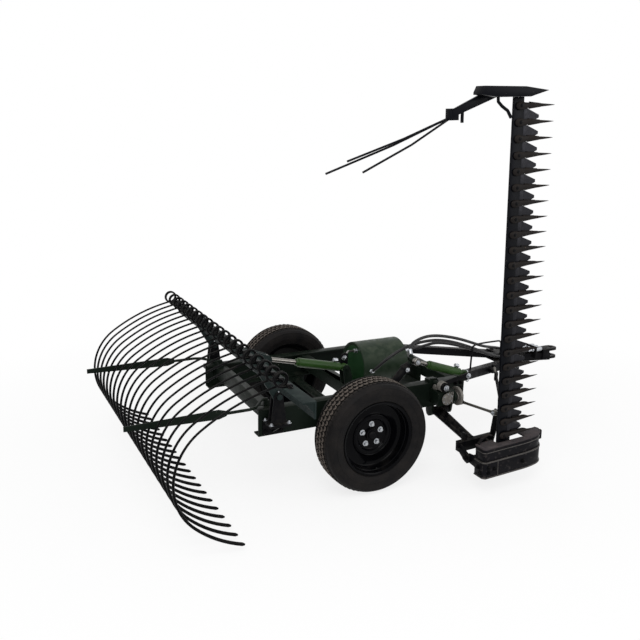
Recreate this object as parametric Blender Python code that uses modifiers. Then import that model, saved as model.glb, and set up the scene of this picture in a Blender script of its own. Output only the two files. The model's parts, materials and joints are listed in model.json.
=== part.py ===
# Trailed sickle bar mower with a hydraulic dump rake, modelled in metres.
# X points forward to the hitch, Y to the left and Z up. The ground is z = 0.
# All pieces are drawn in machine coordinates, with the wheel axle at x = 0, and
# the whole machine then hangs on one empty that centres it over the origin.
import bpy
import bmesh
import math
from mathutils import Matrix, Vector

# Whole machine
REAR_END = -1.260
FRONT_END = 1.800
RIGHT_END = -1.080
LEFT_END = 0.890
GAP = 0.0003

# Wheels and axle
WHEEL_SIDES = 20
TYRE_RADIUS = 0.310
TYRE_HALF_WIDTH = 0.0925
BEAD_RADIUS = 0.1925
RIM_HALF_WIDTH = 0.079
WHEEL_Y = 0.560
AXLE_Z = TYRE_RADIUS * math.cos(math.pi / WHEEL_SIDES)
AXLE_RADIUS = 0.025
SPINDLE_RADIUS = 0.015
DISC_FACE = -0.0047
DISC_THICKNESS = 0.006
STUD_CIRCLE = 0.0572
STUD_COUNT = 5

# Chassis
RAIL_OUTER_Y = 0.420
RAIL_FLANGE = 0.060
RAIL_WALL = 0.008
RAIL_LOW = 0.336
RAIL_HIGH = 0.476
RAIL_REAR = -0.580
RAIL_FRONT = 0.700
BEARER_WIDTH = 0.060
BEARER_LOW = 0.398
REAR_BEARER_X = -0.500
MIDDLE_BEARER_X = 0.050
FRONT_BEARER_X = 0.660

# Drawbar
DRAWBAR_START_Y = 0.330
DRAWBAR_END_X = 1.450
DRAWBAR_END_Y = 0.055
DRAWBAR_SIZE = 0.050
DRAWBAR_START_Z = 0.445
DRAWBAR_SLOPE = -0.080
TONGUE_REAR = 1.360
TONGUE_FRONT = 1.740
CLEVIS_Z = 0.385
CLEVIS_HALF_GAP = 0.021
STAND_X = 1.300
STAND_Y = -0.163
STAND_SIZE = 0.030

# Oil tank
TANK_RADIUS = 0.135
TANK_REAR = 0.200
TANK_FRONT = 0.500
TANK_Z = 0.495

# Rake
RAKE_PIVOT = Vector((-0.505, 0.0, 0.570))
RAKE_POST_Y = 0.480
BEAM_BACK = -0.655
BEAM_FRONT = -0.590
BEAM_TOP = 0.763
BEAM_WALL = 0.008
BEAM_DEPTH = 0.080
TINE_COUNT = 20
TINE_PITCH = 0.090
WIRE_RADIUS = 0.005
COIL_RADIUS = 0.032
COIL_X = -0.660
COIL_STEP = 0.0125
COIL_POINTS = 8
TINE_HEADING = 10.5
TINE_ARCS = ((0.400, 24.0, 1), (0.520, 102.0, 4), (0.270, 26.0, 1))
RAKE_CYLINDER_Y = -0.200
RAKE_CYLINDER_FOOT = Vector((0.030, RAKE_CYLINDER_Y, 0.560))
RAKE_CYLINDER_EYE = Vector((-0.445, RAKE_CYLINDER_Y, 0.670))

# Cutter bar, drawn upright as carried on the road
HINGE = Vector((0.575, -0.760, 0.160))
BAR_TILT = math.radians(2.5)
BAR_BACK_X = 0.600
BAR_FACE_Y = -0.862
BAR_WIDTH = 0.062
BAR_THICKNESS = 0.012
BAR_INNER_Z = 0.205
BAR_OUTER_Z = 2.020
GUARD_PITCH = 0.0762
GUARD_COUNT = 23
FIRST_GUARD_Z = 0.305
GUARD_REACH = 0.245
SECTION_COUNT = 22
SHOE_LOW = 0.095
SHOE_STEP = 0.188
SHOE_HIGH = 0.268
SHOE_WALL = 0.008
SHOE_PLAN = ((-0.112, 0.040), (-0.112, -0.024), (-0.098, -0.038), (0.195, -0.038), (0.285, -0.018),
             (0.325, 0.036), (0.315, 0.064))

# Drag bar, gearbox and lift gear
DRAG_PIVOT = Vector((0.560, -0.385, 0.290))
YOKE_Y = -0.680
CRANK = Vector((0.610, -0.480, 0.400))
CRANK_RADIUS = 0.038
PITMAN_X = 0.635
PITMAN_END = Vector((PITMAN_X, -0.775, 0.400))
LIFT_Y = -0.450
LIFT_ANCHOR = Vector((0.340, LIFT_Y, 0.628))
LIFT_END = Vector((0.670, LIFT_Y, 0.515))
LEVER_PIVOT = Vector((0.490, -0.505, 0.470))
LINK_TOP = Vector((1.050, -0.262, 0.455))
LINK_LOW = Vector((0.722, -0.738, 0.385))
LINK_END = 0.155

# Hoses
HOSE_RADIUS = 0.009

# Paint and metal
BLACK = (0.018, 0.019, 0.021, 1.0)
DARK_GREEN = (0.030, 0.045, 0.034, 1.0)
TANK_GREEN = (0.055, 0.110, 0.070, 1.0)
BRIGHT_GREEN = (0.080, 0.190, 0.050, 1.0)
STEEL = (0.420, 0.420, 0.430, 1.0)
CAST = (0.180, 0.180, 0.180, 1.0)
RUBBER = (0.035, 0.032, 0.030, 1.0)


def clear_scene():
    for thing in list(bpy.data.objects):
        bpy.data.objects.remove(thing, do_unlink=True)


def new_collection(name):
    group = bpy.data.collections.new(name)
    bpy.context.scene.collection.children.link(group)
    return group


clear_scene()
PARTS = new_collection("sickle_bar_mower")
CUTTERS = new_collection("cutters")


# Placing and finishing

def add_empty(name, location, parent=None):
    empty = bpy.data.objects.new(name, None)
    empty.empty_display_size = 0.05
    PARTS.objects.link(empty)
    if parent is not None:
        empty.parent = parent
    empty.location = location
    return empty


MACHINE = add_empty("machine", (-(REAR_END + FRONT_END) / 2, -(RIGHT_END + LEFT_END) / 2, 0.0))


def pivot(name, point):
    return add_empty(name, point, MACHINE)


def hang(thing, carrier):
    # Drawn in machine coordinates, so the carrier's own offset is taken back out.
    thing.parent = carrier
    if carrier is not MACHINE:
        thing.matrix_parent_inverse = Matrix.Translation(-Vector(carrier.location))
    for change in thing.modifiers:
        if change.type == "BOOLEAN":
            hang(change.object, carrier)


def paint(thing, name, colour, roughness, metallic):
    finish = bpy.data.materials.new(name)
    finish.use_nodes = True
    shader = finish.node_tree.nodes["Principled BSDF"]
    shader.inputs["Base Color"].default_value = colour
    shader.inputs["Roughness"].default_value = roughness
    shader.inputs["Metallic"].default_value = metallic
    thing.data.materials.clear()
    thing.data.materials.append(finish)


def node(thing, name, colour, carrier=MACHINE, roughness=0.45, metallic=0.0):
    thing.name = name
    thing.data.name = name
    paint(thing, name + "_finish", colour, roughness, metallic)
    hang(thing, carrier)
    return thing


# Shapes

def mesh_object(name, build):
    mesh = bpy.data.meshes.new(name)
    shape = bmesh.new()
    build(shape)
    shape.to_mesh(mesh)
    shape.free()
    thing = bpy.data.objects.new(name, mesh)
    PARTS.objects.link(thing)
    return thing


def block(low, high, name="block"):
    low, high = Vector(low), Vector(high)
    size = high - low
    middle = (high + low) / 2

    def build(shape):
        bmesh.ops.create_cube(shape, size=1.0)
        bmesh.ops.scale(shape, vec=size, verts=shape.verts)
        bmesh.ops.translate(shape, vec=middle, verts=shape.verts)

    return mesh_object(name, build)


def cone(start, end, start_radius, end_radius, sides=16, name="cone"):
    start, end = Vector(start), Vector(end)
    along = end - start
    turn = along.to_track_quat("Z", "Y").to_matrix().to_4x4()
    place = Matrix.Translation((start + end) / 2) @ turn

    def build(shape):
        bmesh.ops.create_cone(shape, cap_ends=True, segments=sides, radius1=start_radius,
                              radius2=end_radius, depth=along.length, matrix=place)

    thing = mesh_object(name, build)
    thing.data.shade_smooth()
    thing.data.set_sharp_from_angle(angle=math.radians(40))
    return thing


def rod(start, end, radius, sides=16, name="rod"):
    return cone(start, end, radius, radius, sides, name)


def turned(profile, origin, axis, sides, name="turned"):
    # A closed loop of (radius, height) points, running down its outer side, spun about the axis.
    mesh = bpy.data.meshes.new(name)
    count = len(profile)
    edges = [(i, (i + 1) % count) for i in range(count)]
    mesh.from_pydata([(radius, 0.0, height) for radius, height in profile], edges, [])
    thing = bpy.data.objects.new(name, mesh)
    PARTS.objects.link(thing)
    spin = thing.modifiers.new("spin", "SCREW")
    spin.axis = "Z"
    spin.steps = sides
    spin.render_steps = sides
    spin.use_merge_vertices = True
    spin.merge_threshold = 0.0001
    solid = baked(thing, name)
    turn = Vector(axis).to_track_quat("Z", "Y").to_matrix().to_4x4()
    level = Matrix.Rotation(math.pi / sides, 4, "Z")
    solid.data.transform(Matrix.Translation(Vector(origin)) @ turn @ level)
    solid.data.shade_smooth()
    solid.data.set_sharp_from_angle(angle=math.radians(35))
    return solid


def baked(thing, name):
    # Replaces an object by the mesh that it evaluates to, with its loose caps welded and its flat faces whole.
    bpy.context.view_layer.update()
    depsgraph = bpy.context.evaluated_depsgraph_get()
    mesh = bpy.data.meshes.new_from_object(thing.evaluated_get(depsgraph))
    shape = bmesh.new()
    shape.from_mesh(mesh)
    bmesh.ops.remove_doubles(shape, verts=shape.verts, dist=0.00005)
    bmesh.ops.dissolve_limit(shape, angle_limit=math.radians(0.05), verts=shape.verts, edges=shape.edges)
    shape.to_mesh(mesh)
    shape.free()
    solid = bpy.data.objects.new(name, mesh)
    solid.matrix_world = thing.matrix_world
    PARTS.objects.link(solid)
    for change in list(thing.modifiers):
        if change.type == "BOOLEAN":
            bpy.data.objects.remove(change.object, do_unlink=True)
    bpy.data.objects.remove(thing, do_unlink=True)
    return solid


def plate(outline, low, high, normal="Y", name="plate"):
    # A flat outline cut from plate. Its points are (x, z) for normal Y, (y, z) for X, (x, y) for Z.
    data = bpy.data.curves.new(name, "CURVE")
    data.dimensions = "2D"
    data.fill_mode = "BOTH"
    data.extrude = (high - low) / 2
    line = data.splines.new("POLY")
    line.points.add(len(outline) - 1)
    for point, (a, b) in zip(line.points, outline):
        point.co = (a, b, 0.0, 1.0)
    line.use_cyclic_u = True
    thing = bpy.data.objects.new(name, data)
    PARTS.objects.link(thing)
    solid = baked(thing, name)
    middle = (low + high) / 2
    if normal == "Y":
        place = Matrix.Translation((0, middle, 0)) @ Matrix.Rotation(math.pi / 2, 4, "X")
    elif normal == "X":
        spin = Matrix.Rotation(math.pi / 2, 4, "Z") @ Matrix.Rotation(math.pi / 2, 4, "X")
        place = Matrix.Translation((middle, 0, 0)) @ spin
    else:
        place = Matrix.Translation((0, 0, middle))
    solid.data.transform(place)
    return solid


def wire(points, radius, resolution=1, name="wire"):
    data = bpy.data.curves.new(name, "CURVE")
    data.dimensions = "3D"
    data.bevel_depth = radius
    data.bevel_resolution = resolution
    data.use_fill_caps = True
    data.resolution_u = 1
    data.render_resolution_u = 0
    line = data.splines.new("POLY")
    line.points.add(len(points) - 1)
    for point, place in zip(line.points, points):
        point.co = (place[0], place[1], place[2], 1.0)
    thing = bpy.data.objects.new(name, data)
    PARTS.objects.link(thing)
    return thing


def bent_rod(points, radius, resolution=1, name="bent_rod"):
    return baked(wire(points, radius, resolution, name), name)


def arc(centre, radius, start, end, steps):
    # Points of a flat arc, with its angles in degrees.
    points = []
    for i in range(steps + 1):
        angle = math.radians(start + (end - start) * i / steps)
        points.append((centre[0] + radius * math.cos(angle), centre[1] + radius * math.sin(angle)))
    return points


def eye_outline(centre, radius, foot_a, foot_b, steps=4):
    # A lug outline: two foot points, joined by tangents to a round end about the centre.
    to_a, to_b = Vector(foot_a) - Vector(centre), Vector(foot_b) - Vector(centre)
    if to_a.x * to_b.y - to_a.y * to_b.x < 0:
        foot_a, foot_b, to_a, to_b = foot_b, foot_a, to_b, to_a
    start = math.atan2(to_b.y, to_b.x) + math.acos(radius / to_b.length)
    end = math.atan2(to_a.y, to_a.x) - math.acos(radius / to_a.length)
    while end < start:
        end += 2 * math.pi
    return [foot_a, foot_b] + arc(centre, radius, math.degrees(start), math.degrees(end), steps)


def boolean(base, tool, operation):
    for group in list(tool.users_collection):
        group.objects.unlink(tool)
    CUTTERS.objects.link(tool)
    tool.hide_render = True
    tool.display_type = "WIRE"
    change = base.modifiers.new(operation.lower(), "BOOLEAN")
    change.operation = operation
    change.object = tool
    change.solver = "EXACT"


def fuse(base, *others):
    for other in others:
        boolean(base, other, "UNION")
    return base


def cut(base, *cutters):
    for cutter in cutters:
        boolean(base, cutter, "DIFFERENCE")
    return base


def joined(things, name):
    # Several separate solids in one mesh, used only as the tool of one Boolean.
    mesh = bpy.data.meshes.new(name)
    shape = bmesh.new()
    for thing in things:
        shape.from_mesh(thing.data)
        bpy.data.objects.remove(thing, do_unlink=True)
    shape.to_mesh(mesh)
    shape.free()
    solid = bpy.data.objects.new(name, mesh)
    PARTS.objects.link(solid)
    return solid


def tilt(thing):
    # Leans a piece of the upright bar back about the hinge.
    about = Matrix.Translation(HINGE)
    lean = about @ Matrix.Rotation(-BAR_TILT, 4, "Y") @ about.inverted()
    thing.data.transform(lean)
    for change in thing.modifiers:
        if change.type == "BOOLEAN":
            change.object.data.transform(lean)
    return thing


def bar_block(forward, up, along, name="block"):
    # A block in the bar's own terms: forward of its back edge, above its face, along its length.
    low = (BAR_BACK_X + forward[0], BAR_FACE_Y + up[0], along[0])
    high = (BAR_BACK_X + forward[1], BAR_FACE_Y + up[1], along[1])
    return block(low, high, name)


def drawbar_z(x):
    return DRAWBAR_START_Z + DRAWBAR_SLOPE * (x - RAIL_FRONT)


def follow_slope(thing):
    # Shears a level piece of the drawbar down to the drawbar's slope.
    for point in thing.data.vertices:
        point.co.z += drawbar_z(point.co.x) - DRAWBAR_START_Z
    return thing


# Wheels

def tyre_profile():
    half = [(BEAD_RADIUS, 0.0725), (0.205, 0.0728), (0.250, TYRE_HALF_WIDTH), (0.297, 0.0820),
            (TYRE_RADIUS, 0.0590), (TYRE_RADIUS, 0.0260), (0.302, 0.0200), (TYRE_RADIUS, 0.0140)]
    return half + [(radius, -side) for radius, side in reversed(half)]


def rim_profile():
    seat = BEAD_RADIUS - 0.0004
    back = DISC_FACE
    front = DISC_FACE + DISC_THICKNESS
    return [(0.203, RIM_HALF_WIDTH), (0.203, 0.0732), (seat, 0.0729), (seat, -0.0729), (0.203, -0.0732),
            (0.203, -RIM_HALF_WIDTH), (0.186, -0.0745), (0.180, -0.015), (0.090, 0.008), (0.076, back),
            (0.0345, back), (0.0345, front), (0.075, front), (0.092, 0.015), (0.172, 0.000), (0.188, 0.0745)]


def hub_body(side):
    outward = Vector((0.0, side, 0.0))
    face = WHEEL_Y + DISC_FACE - GAP
    barrel = rod(outward * 0.4305 + Vector((0, 0, AXLE_Z)), outward * 0.583 + Vector((0, 0, AXLE_Z)),
                 0.033, 12)
    flange = rod(outward * (face - 0.011) + Vector((0, 0, AXLE_Z)), outward * face + Vector((0, 0, AXLE_Z)),
                 0.074, 16)
    cap = cone(outward * 0.582 + Vector((0, 0, AXLE_Z)), outward * 0.592 + Vector((0, 0, AXLE_Z)),
               0.026, 0.021, 10)
    tools = [flange, cap]
    studs = []
    for i in range(STUD_COUNT):
        angle = math.radians(90 + i * 360 / STUD_COUNT)
        centre = Vector((STUD_CIRCLE * math.cos(angle), 0.0, AXLE_Z + STUD_CIRCLE * math.sin(angle)))
        seat = WHEEL_Y + DISC_FACE + DISC_THICKNESS + GAP
        studs.append(rod(centre + outward * (face - 0.006), centre + outward * (seat + 0.004), 0.006, 6))
        studs.append(rod(centre + outward * seat, centre + outward * (seat + 0.016), 0.0105, 6))
    for i in range(STUD_COUNT):
        tools.append(fuse_now(studs[2 * i], studs[2 * i + 1]))
    hub = fuse(barrel, *tools)
    bore = rod(outward * 0.420 + Vector((0, 0, AXLE_Z)), outward * 0.565 + Vector((0, 0, AXLE_Z)),
               SPINDLE_RADIUS + 0.0022, 12)
    return cut(hub, bore)


def fuse_now(base, *others):
    return baked(fuse(base, *others), "fused")


def make_wheel(side, word):
    carrier = pivot("wheel_axis_" + word, (0.0, side * WHEEL_Y, AXLE_Z))
    centre = (0.0, side * WHEEL_Y, AXLE_Z)
    outward = (0.0, side, 0.0)
    tyre = turned(tyre_profile(), centre, outward, WHEEL_SIDES)
    node(tyre, "tyre_" + word, RUBBER, carrier, 0.85)
    rim = turned(rim_profile(), centre, outward, WHEEL_SIDES)
    for i in range(STUD_COUNT):
        angle = math.radians(90 + i * 360 / STUD_COUNT)
        x, z = STUD_CIRCLE * math.cos(angle), AXLE_Z + STUD_CIRCLE * math.sin(angle)
        cut(rim, rod((x, side * (WHEEL_Y - 0.02), z), (x, side * (WHEEL_Y + 0.02), z), 0.0075, 6))
    node(rim, "rim_" + word, BLACK, carrier, 0.2)
    node(hub_body(side), "hub_" + word, STEEL, carrier, 0.4, 0.8)


def make_axle():
    tube = rod((0, -0.430, AXLE_Z), (0, 0.430, AXLE_Z), AXLE_RADIUS, 12)
    for side in (-1, 1):
        inner, outer = sorted((side * 0.366, side * 0.416))
        saddle = block((-0.055, inner, AXLE_Z - 0.012), (0.055, outer, RAIL_LOW - GAP))
        spindle = rod((0, side * 0.425, AXLE_Z), (0, side * 0.560, AXLE_Z), SPINDLE_RADIUS, 12)
        fuse(tube, saddle, spindle)
    node(tube, "axle_tube", DARK_GREEN)


# Chassis

def rail_outline(side):
    outer = side * RAIL_OUTER_Y
    web = side * (RAIL_OUTER_Y - RAIL_WALL)
    lip = side * (RAIL_OUTER_Y - RAIL_FLANGE)
    return [(outer, RAIL_LOW), (outer, RAIL_HIGH), (lip, RAIL_HIGH), (lip, RAIL_HIGH - RAIL_WALL),
            (web, RAIL_HIGH - RAIL_WALL), (web, RAIL_LOW + RAIL_WALL), (lip, RAIL_LOW + RAIL_WALL),
            (lip, RAIL_LOW)]


def make_rails():
    left = plate(rail_outline(1), RAIL_REAR, RAIL_FRONT, "X")
    node(left, "side_rail_left", DARK_GREEN)
    right = plate(rail_outline(-1), RAIL_REAR, RAIL_FRONT, "X")
    # Two hangers under the right rail carry the drag bar's pivot pin.
    for low, high in ((0.487, 0.500), (0.620, 0.633)):
        outline = eye_outline((DRAG_PIVOT.y, DRAG_PIVOT.z), 0.026, (-0.352, 0.342), (-0.419, 0.342))
        fuse(right, plate(outline, low, high, "X"))
    fuse(right, rod((0.490, DRAG_PIVOT.y, DRAG_PIVOT.z), (0.630, DRAG_PIVOT.y, DRAG_PIVOT.z), 0.010, 8))
    # The strut and its head hold the rod end of the lift cylinder.
    head = LIFT_ANCHOR
    strut = rod((0.200, -0.395, 0.470), (head.x - 0.018, -0.418, head.z - 0.006), 0.014, 8)
    ear = rod((head.x, -0.410, head.z), (head.x, -0.434, head.z), 0.022, 12)
    pin = rod((head.x, -0.430, head.z), (head.x, -0.466, head.z), 0.008, 8)
    fuse(right, strut, ear, pin)
    # The lift hose is screwed on a port of that head, straight in line with its first stretch.
    start, second = (Vector(point) for point in HOSE_ROUTES["hose_lift"][:2])
    outward = (second - start).normalized()
    fuse(right, rod(start - outward * 0.030, start - outward * GAP, 0.012, 8))
    # A stub shaft on the rail carries the lift lever.
    stand_off = block((0.462, -0.419, 0.468), (0.518, -0.365, 0.492))
    post = block((0.470, -0.419, 0.450), (0.510, -0.405, 0.500))
    shaft = rod((LEVER_PIVOT.x, -0.410, LEVER_PIVOT.z + 0.010), (LEVER_PIVOT.x, -0.535, LEVER_PIVOT.z + 0.010),
                0.013, 10)
    fuse(right, stand_off, post, shaft)
    node(right, "side_rail_right", DARK_GREEN)


def make_bearer(name, x):
    inner = RAIL_OUTER_Y - RAIL_WALL - GAP
    low = (x - BEARER_WIDTH / 2, -inner, BEARER_LOW)
    high = (x + BEARER_WIDTH / 2, inner, RAIL_HIGH - RAIL_WALL - GAP)
    return block(low, high, name)


def make_bearers():
    rear = fuse(make_bearer("rear", REAR_BEARER_X), stripper(-1), stripper(1))
    node(rear, "rear_crossmember", DARK_GREEN)
    node(make_bearer("front", FRONT_BEARER_X), "front_crossmember", DARK_GREEN)
    middle = make_bearer("middle", MIDDLE_BEARER_X)
    foot = RAKE_CYLINDER_FOOT
    for side in (-1, 1):
        low, high = sorted((foot.y + side * 0.018, foot.y + side * 0.028))
        outline = eye_outline((foot.x, foot.z), 0.022, (foot.x + 0.045, 0.460), (foot.x - 0.008, 0.460))
        fuse(middle, plate(outline, low, high, "Y"))
    fuse(middle, rod((foot.x, foot.y - 0.032, foot.z), (foot.x, foot.y + 0.032, foot.z), 0.008, 8))
    node(middle, "middle_crossmember", DARK_GREEN)


# Drawbar, hitch and parking stand

def drawbar_beam(side):
    half = DRAWBAR_SIZE / 2
    start = RAIL_FRONT - 0.004
    outline = [(start, side * (DRAWBAR_START_Y - half)), (DRAWBAR_END_X, side * (DRAWBAR_END_Y - half)),
               (DRAWBAR_END_X, side * (DRAWBAR_END_Y + half)), (start, side * (DRAWBAR_START_Y + half))]
    beam = plate(outline, DRAWBAR_START_Z - half, DRAWBAR_START_Z + half, "Z")
    inner, outer = sorted((side * 0.275, side * 0.3595))
    face = FRONT_BEARER_X + BEARER_WIDTH / 2 + GAP
    end_plate = block((face, inner, 0.395), (face + 0.008, outer, 0.476))
    return follow_slope(beam), end_plate


def make_drawbar():
    beam, end_plate = drawbar_beam(1)
    node(fuse(beam, end_plate), "drawbar_left_beam", BLACK)
    beam, end_plate = drawbar_beam(-1)
    z = drawbar_z(STAND_X)
    sleeve = block((STAND_X - 0.024, STAND_Y - 0.024, z - 0.060), (STAND_X + 0.024, STAND_Y + 0.024, z + 0.060))
    shelf = block((STAND_X - 0.020, STAND_Y + 0.010, z - 0.018), (STAND_X + 0.020, -0.110, z + 0.018))
    link_lug = block((LINK_TOP.x - 0.010, -0.262, drawbar_z(1.05) - 0.012),
                     (LINK_TOP.x + 0.030, -0.200, drawbar_z(1.05) + 0.012))
    fuse(beam, end_plate, shelf, sleeve, link_lug)
    half = STAND_SIZE / 2 + 0.0006
    hole = block((STAND_X - half, STAND_Y - half, z - 0.10), (STAND_X + half, STAND_Y + half, z + 0.10))
    node(cut(beam, hole), "drawbar_right_beam", BLACK)
    half = STAND_SIZE / 2
    leg = block((STAND_X - half, STAND_Y - half, 0.004), (STAND_X + half, STAND_Y + half, 0.480))
    foot = block((STAND_X - 0.050, STAND_Y - 0.050, 0.0), (STAND_X + 0.050, STAND_Y + 0.050, 0.008))
    carrier = pivot("stand_axis", (STAND_X, STAND_Y, 0.0))
    node(fuse(leg, foot), "stand_leg", BLACK, carrier)


def make_hitch():
    half = DRAWBAR_SIZE / 2
    bar = follow_slope(block((TONGUE_REAR, -half, DRAWBAR_START_Z - half),
                             (TONGUE_FRONT, half, DRAWBAR_START_Z + half)))
    gussets = []
    for low, high in ((half + GAP, half + GAP + 0.008), (-half - GAP - 0.008, -half - GAP)):
        outline = [(1.300, -0.120), (1.470, -0.060), (1.520, -0.020), (1.520, 0.020), (1.470, 0.060), (1.300, 0.120)]
        gussets.append(follow_slope(plate(outline, DRAWBAR_START_Z + low, DRAWBAR_START_Z + high, "Z")))
    spacer = follow_slope(block((1.452, -0.018, DRAWBAR_START_Z - half - 0.004),
                                (1.512, 0.018, DRAWBAR_START_Z + half + 0.004)))
    fuse(bar, spacer, *gussets)
    for side in (-1, 1):
        inner = CLEVIS_Z + side * CLEVIS_HALF_GAP
        outer = CLEVIS_Z + side * (CLEVIS_HALF_GAP + 0.014)
        tip = FRONT_END - 0.040
        outline = [(1.660, 0.040), (1.660, -0.040)] + arc((tip, 0.0), 0.040, -90, 90, 6)
        fuse(bar, plate(outline, min(inner, outer), max(inner, outer), "Z"))
    fuse(bar, block((1.664, -0.038, CLEVIS_Z - 0.030), (1.720, 0.038, CLEVIS_Z + 0.030)))
    cut(bar, rod((FRONT_END - 0.040, 0, 0.30), (FRONT_END - 0.040, 0, 0.48), 0.014, 12))
    # An upright plate on the tongue holds the hose couplers.
    z = drawbar_z(1.58)
    fuse(bar, block((1.576, -0.058, z), (1.584, 0.058, z + 0.080)))
    for y in (-0.036, 0.0, 0.036):
        fuse(bar, rod((1.560, y, z + 0.058), (1.640, y, z + 0.058), 0.013, 6))
    node(bar, "hitch_tongue", BLACK)


# Oil tank

def make_tank():
    length = TANK_FRONT - TANK_REAR
    end = TANK_RADIUS - 0.012
    profile = [(TANK_RADIUS, length), (TANK_RADIUS, 0.0), (end, 0.0), (end - 0.006, 0.008), (0.0, 0.008),
               (0.0, length - 0.008), (end - 0.006, length - 0.008), (end, length)]
    tank = turned(profile, (TANK_REAR, 0, TANK_Z), (1, 0, 0), 20)
    # Ports: pressure on the right side, return on the front end, filler neck on the front end.
    port = rod((0.262, -0.100, 0.470), (0.240, -0.158, 0.497), 0.014, 12)
    back_port = rod((TANK_FRONT - 0.020, -0.060, 0.560), (TANK_FRONT + 0.030, -0.060, 0.560), 0.014, 12)
    neck = rod((TANK_FRONT - 0.020, 0.060, 0.560), (TANK_FRONT + 0.016, 0.060, 0.560), 0.022, 12)
    pipe = bent_rod([(0.215, -0.030, 0.590), (0.180, -0.030, 0.590), (0.150, -0.044, 0.596), (0.120, -0.080, 0.610),
                     (0.082, -0.130, 0.618), (0.048, -0.172, 0.618), (0.030, -0.190, 0.613)], 0.006)
    cap = rod((TANK_FRONT + 0.014, 0.060, 0.560), (TANK_FRONT + 0.036, 0.060, 0.560), 0.028, 12)
    fuse(tank, port, back_port, neck, cap, pipe)
    node(tank, "oil_tank", TANK_GREEN)
    rear = MIDDLE_BEARER_X + BEARER_WIDTH / 2 + GAP
    front = FRONT_BEARER_X - BEARER_WIDTH / 2 - GAP
    outline = [(rear, 0.352), (front, 0.352), (front, 0.440), (front - 0.006, 0.440), (front - 0.006, 0.358),
               (rear + 0.006, 0.358), (rear + 0.006, 0.440), (rear, 0.440)]
    tray = plate(outline, -0.090, 0.090, "Y")
    for x in (0.240, 0.420):
        fuse(tray, block((x, -0.085, 0.354), (x + 0.040, 0.085, 0.412)))
    bore = TANK_RADIUS + GAP
    room = turned([(bore, 0.400), (bore, -0.100), (0.0, -0.100), (0.0, 0.400)], (TANK_REAR, 0, TANK_Z), (1, 0, 0), 20)
    node(cut(tray, room), "tank_tray", DARK_GREEN)


# Rake

def make_rake_post(side, word):
    y = side * RAKE_POST_Y
    outer = side * (RAIL_OUTER_Y + GAP)
    inner, far = sorted((outer, side * 0.535))
    shelf = block((-0.560, inner, 0.418), (-0.448, far, 0.430))
    low, high = sorted((outer, side * (RAIL_OUTER_Y + 0.010)))
    back_plate = block((-0.560, low, 0.345), (-0.448, high, 0.424))
    low, high = sorted((side * (RAIL_OUTER_Y + 0.005), side * 0.530))
    gusset = plate([(low if side > 0 else high, 0.350), (low if side > 0 else high, 0.424),
                    (high if side > 0 else low, 0.424)], -0.508, -0.498, "X")
    post = fuse(shelf, back_plate, gusset)
    for offset in (-0.024, 0.014):
        outline = eye_outline((RAKE_PIVOT.x, RAKE_PIVOT.z), 0.024, (-0.463, 0.424), (-0.547, 0.424))
        cheek = plate(outline, y + offset, y + offset + 0.010, "Y")
        fuse(post, cheek)
    cut(post, rod((RAKE_PIVOT.x, y - 0.05, RAKE_PIVOT.z), (RAKE_PIVOT.x, y + 0.05, RAKE_PIVOT.z), 0.0108, 10))
    node(post, "rake_post_" + word, BLACK)


def stripper(side):
    # A flat stripping bar that reaches back between two tines, on a rod from the rear crossmember.
    y = side * 0.450
    z = 0.505
    outline = [(-0.760, z - 0.012), (-0.760, z + 0.012), (-0.800, z + 0.024), (REAR_END, z + 0.014),
               (REAR_END, z - 0.010), (-0.800, z - 0.024)]
    bar = plate(outline, y - 0.004, y + 0.004, "Y")
    foot_y = side * 0.345
    stem = bent_rod([(-0.780, y, z), (-0.640, y, z), (-0.600, side * 0.436, z), (-0.548, side * 0.366, z),
                     (-0.530, foot_y, z), (-0.500, foot_y, z)], 0.008)
    pad = block((-0.524, foot_y - 0.012, RAIL_HIGH - RAIL_WALL - 0.006), (-0.492, foot_y + 0.012, z - 0.006))
    return fuse_now(bar, stem, pad)


def tine_y(i):
    return (i - (TINE_COUNT - 1) / 2) * TINE_PITCH


def tine_points(y):
    # Foot on the beam, the coil rearward and up from it, then the swept tooth down to the ground.
    seat = BEAM_TOP + WIRE_RADIUS + GAP
    centre_z = seat + COIL_RADIUS
    start, end = 270.0, TINE_HEADING - 450.0
    turns = (start - end) / 360.0
    steps = round(turns * COIL_POINTS)
    points = [(COIL_X + 0.052, y - turns * COIL_STEP, seat)]
    for i in range(steps + 1):
        share = i / steps
        angle = math.radians(start + (end - start) * share)
        points.append((COIL_X + COIL_RADIUS * math.cos(angle), y - turns * COIL_STEP * (1.0 - share),
                       centre_z + COIL_RADIUS * math.sin(angle)))
    x, _, z = points[-1]
    heading = math.radians(TINE_HEADING)
    for length, bend, pieces in TINE_ARCS:
        step, turn = length / pieces, math.radians(bend) / pieces
        for _ in range(pieces):
            heading += turn / 2
            x -= math.cos(heading) * step
            z -= math.sin(heading) * step
            heading += turn / 2
            points.append((x, y, z))
    return points


def least_self_gap(points, radius):
    # Least gap between stretches of one wire that lie more than half a turn apart.
    fine = []
    for a, b in zip(points, points[1:]):
        a, b = Vector(a), Vector(b)
        fine += [a.lerp(b, k / 6) for k in range(6)]
    least = 1.0
    apart = 6 * COIL_POINTS // 2
    for i, a in enumerate(fine):
        for b in fine[i + apart:]:
            least = min(least, (a - b).length)
    return least - 2 * radius


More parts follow.
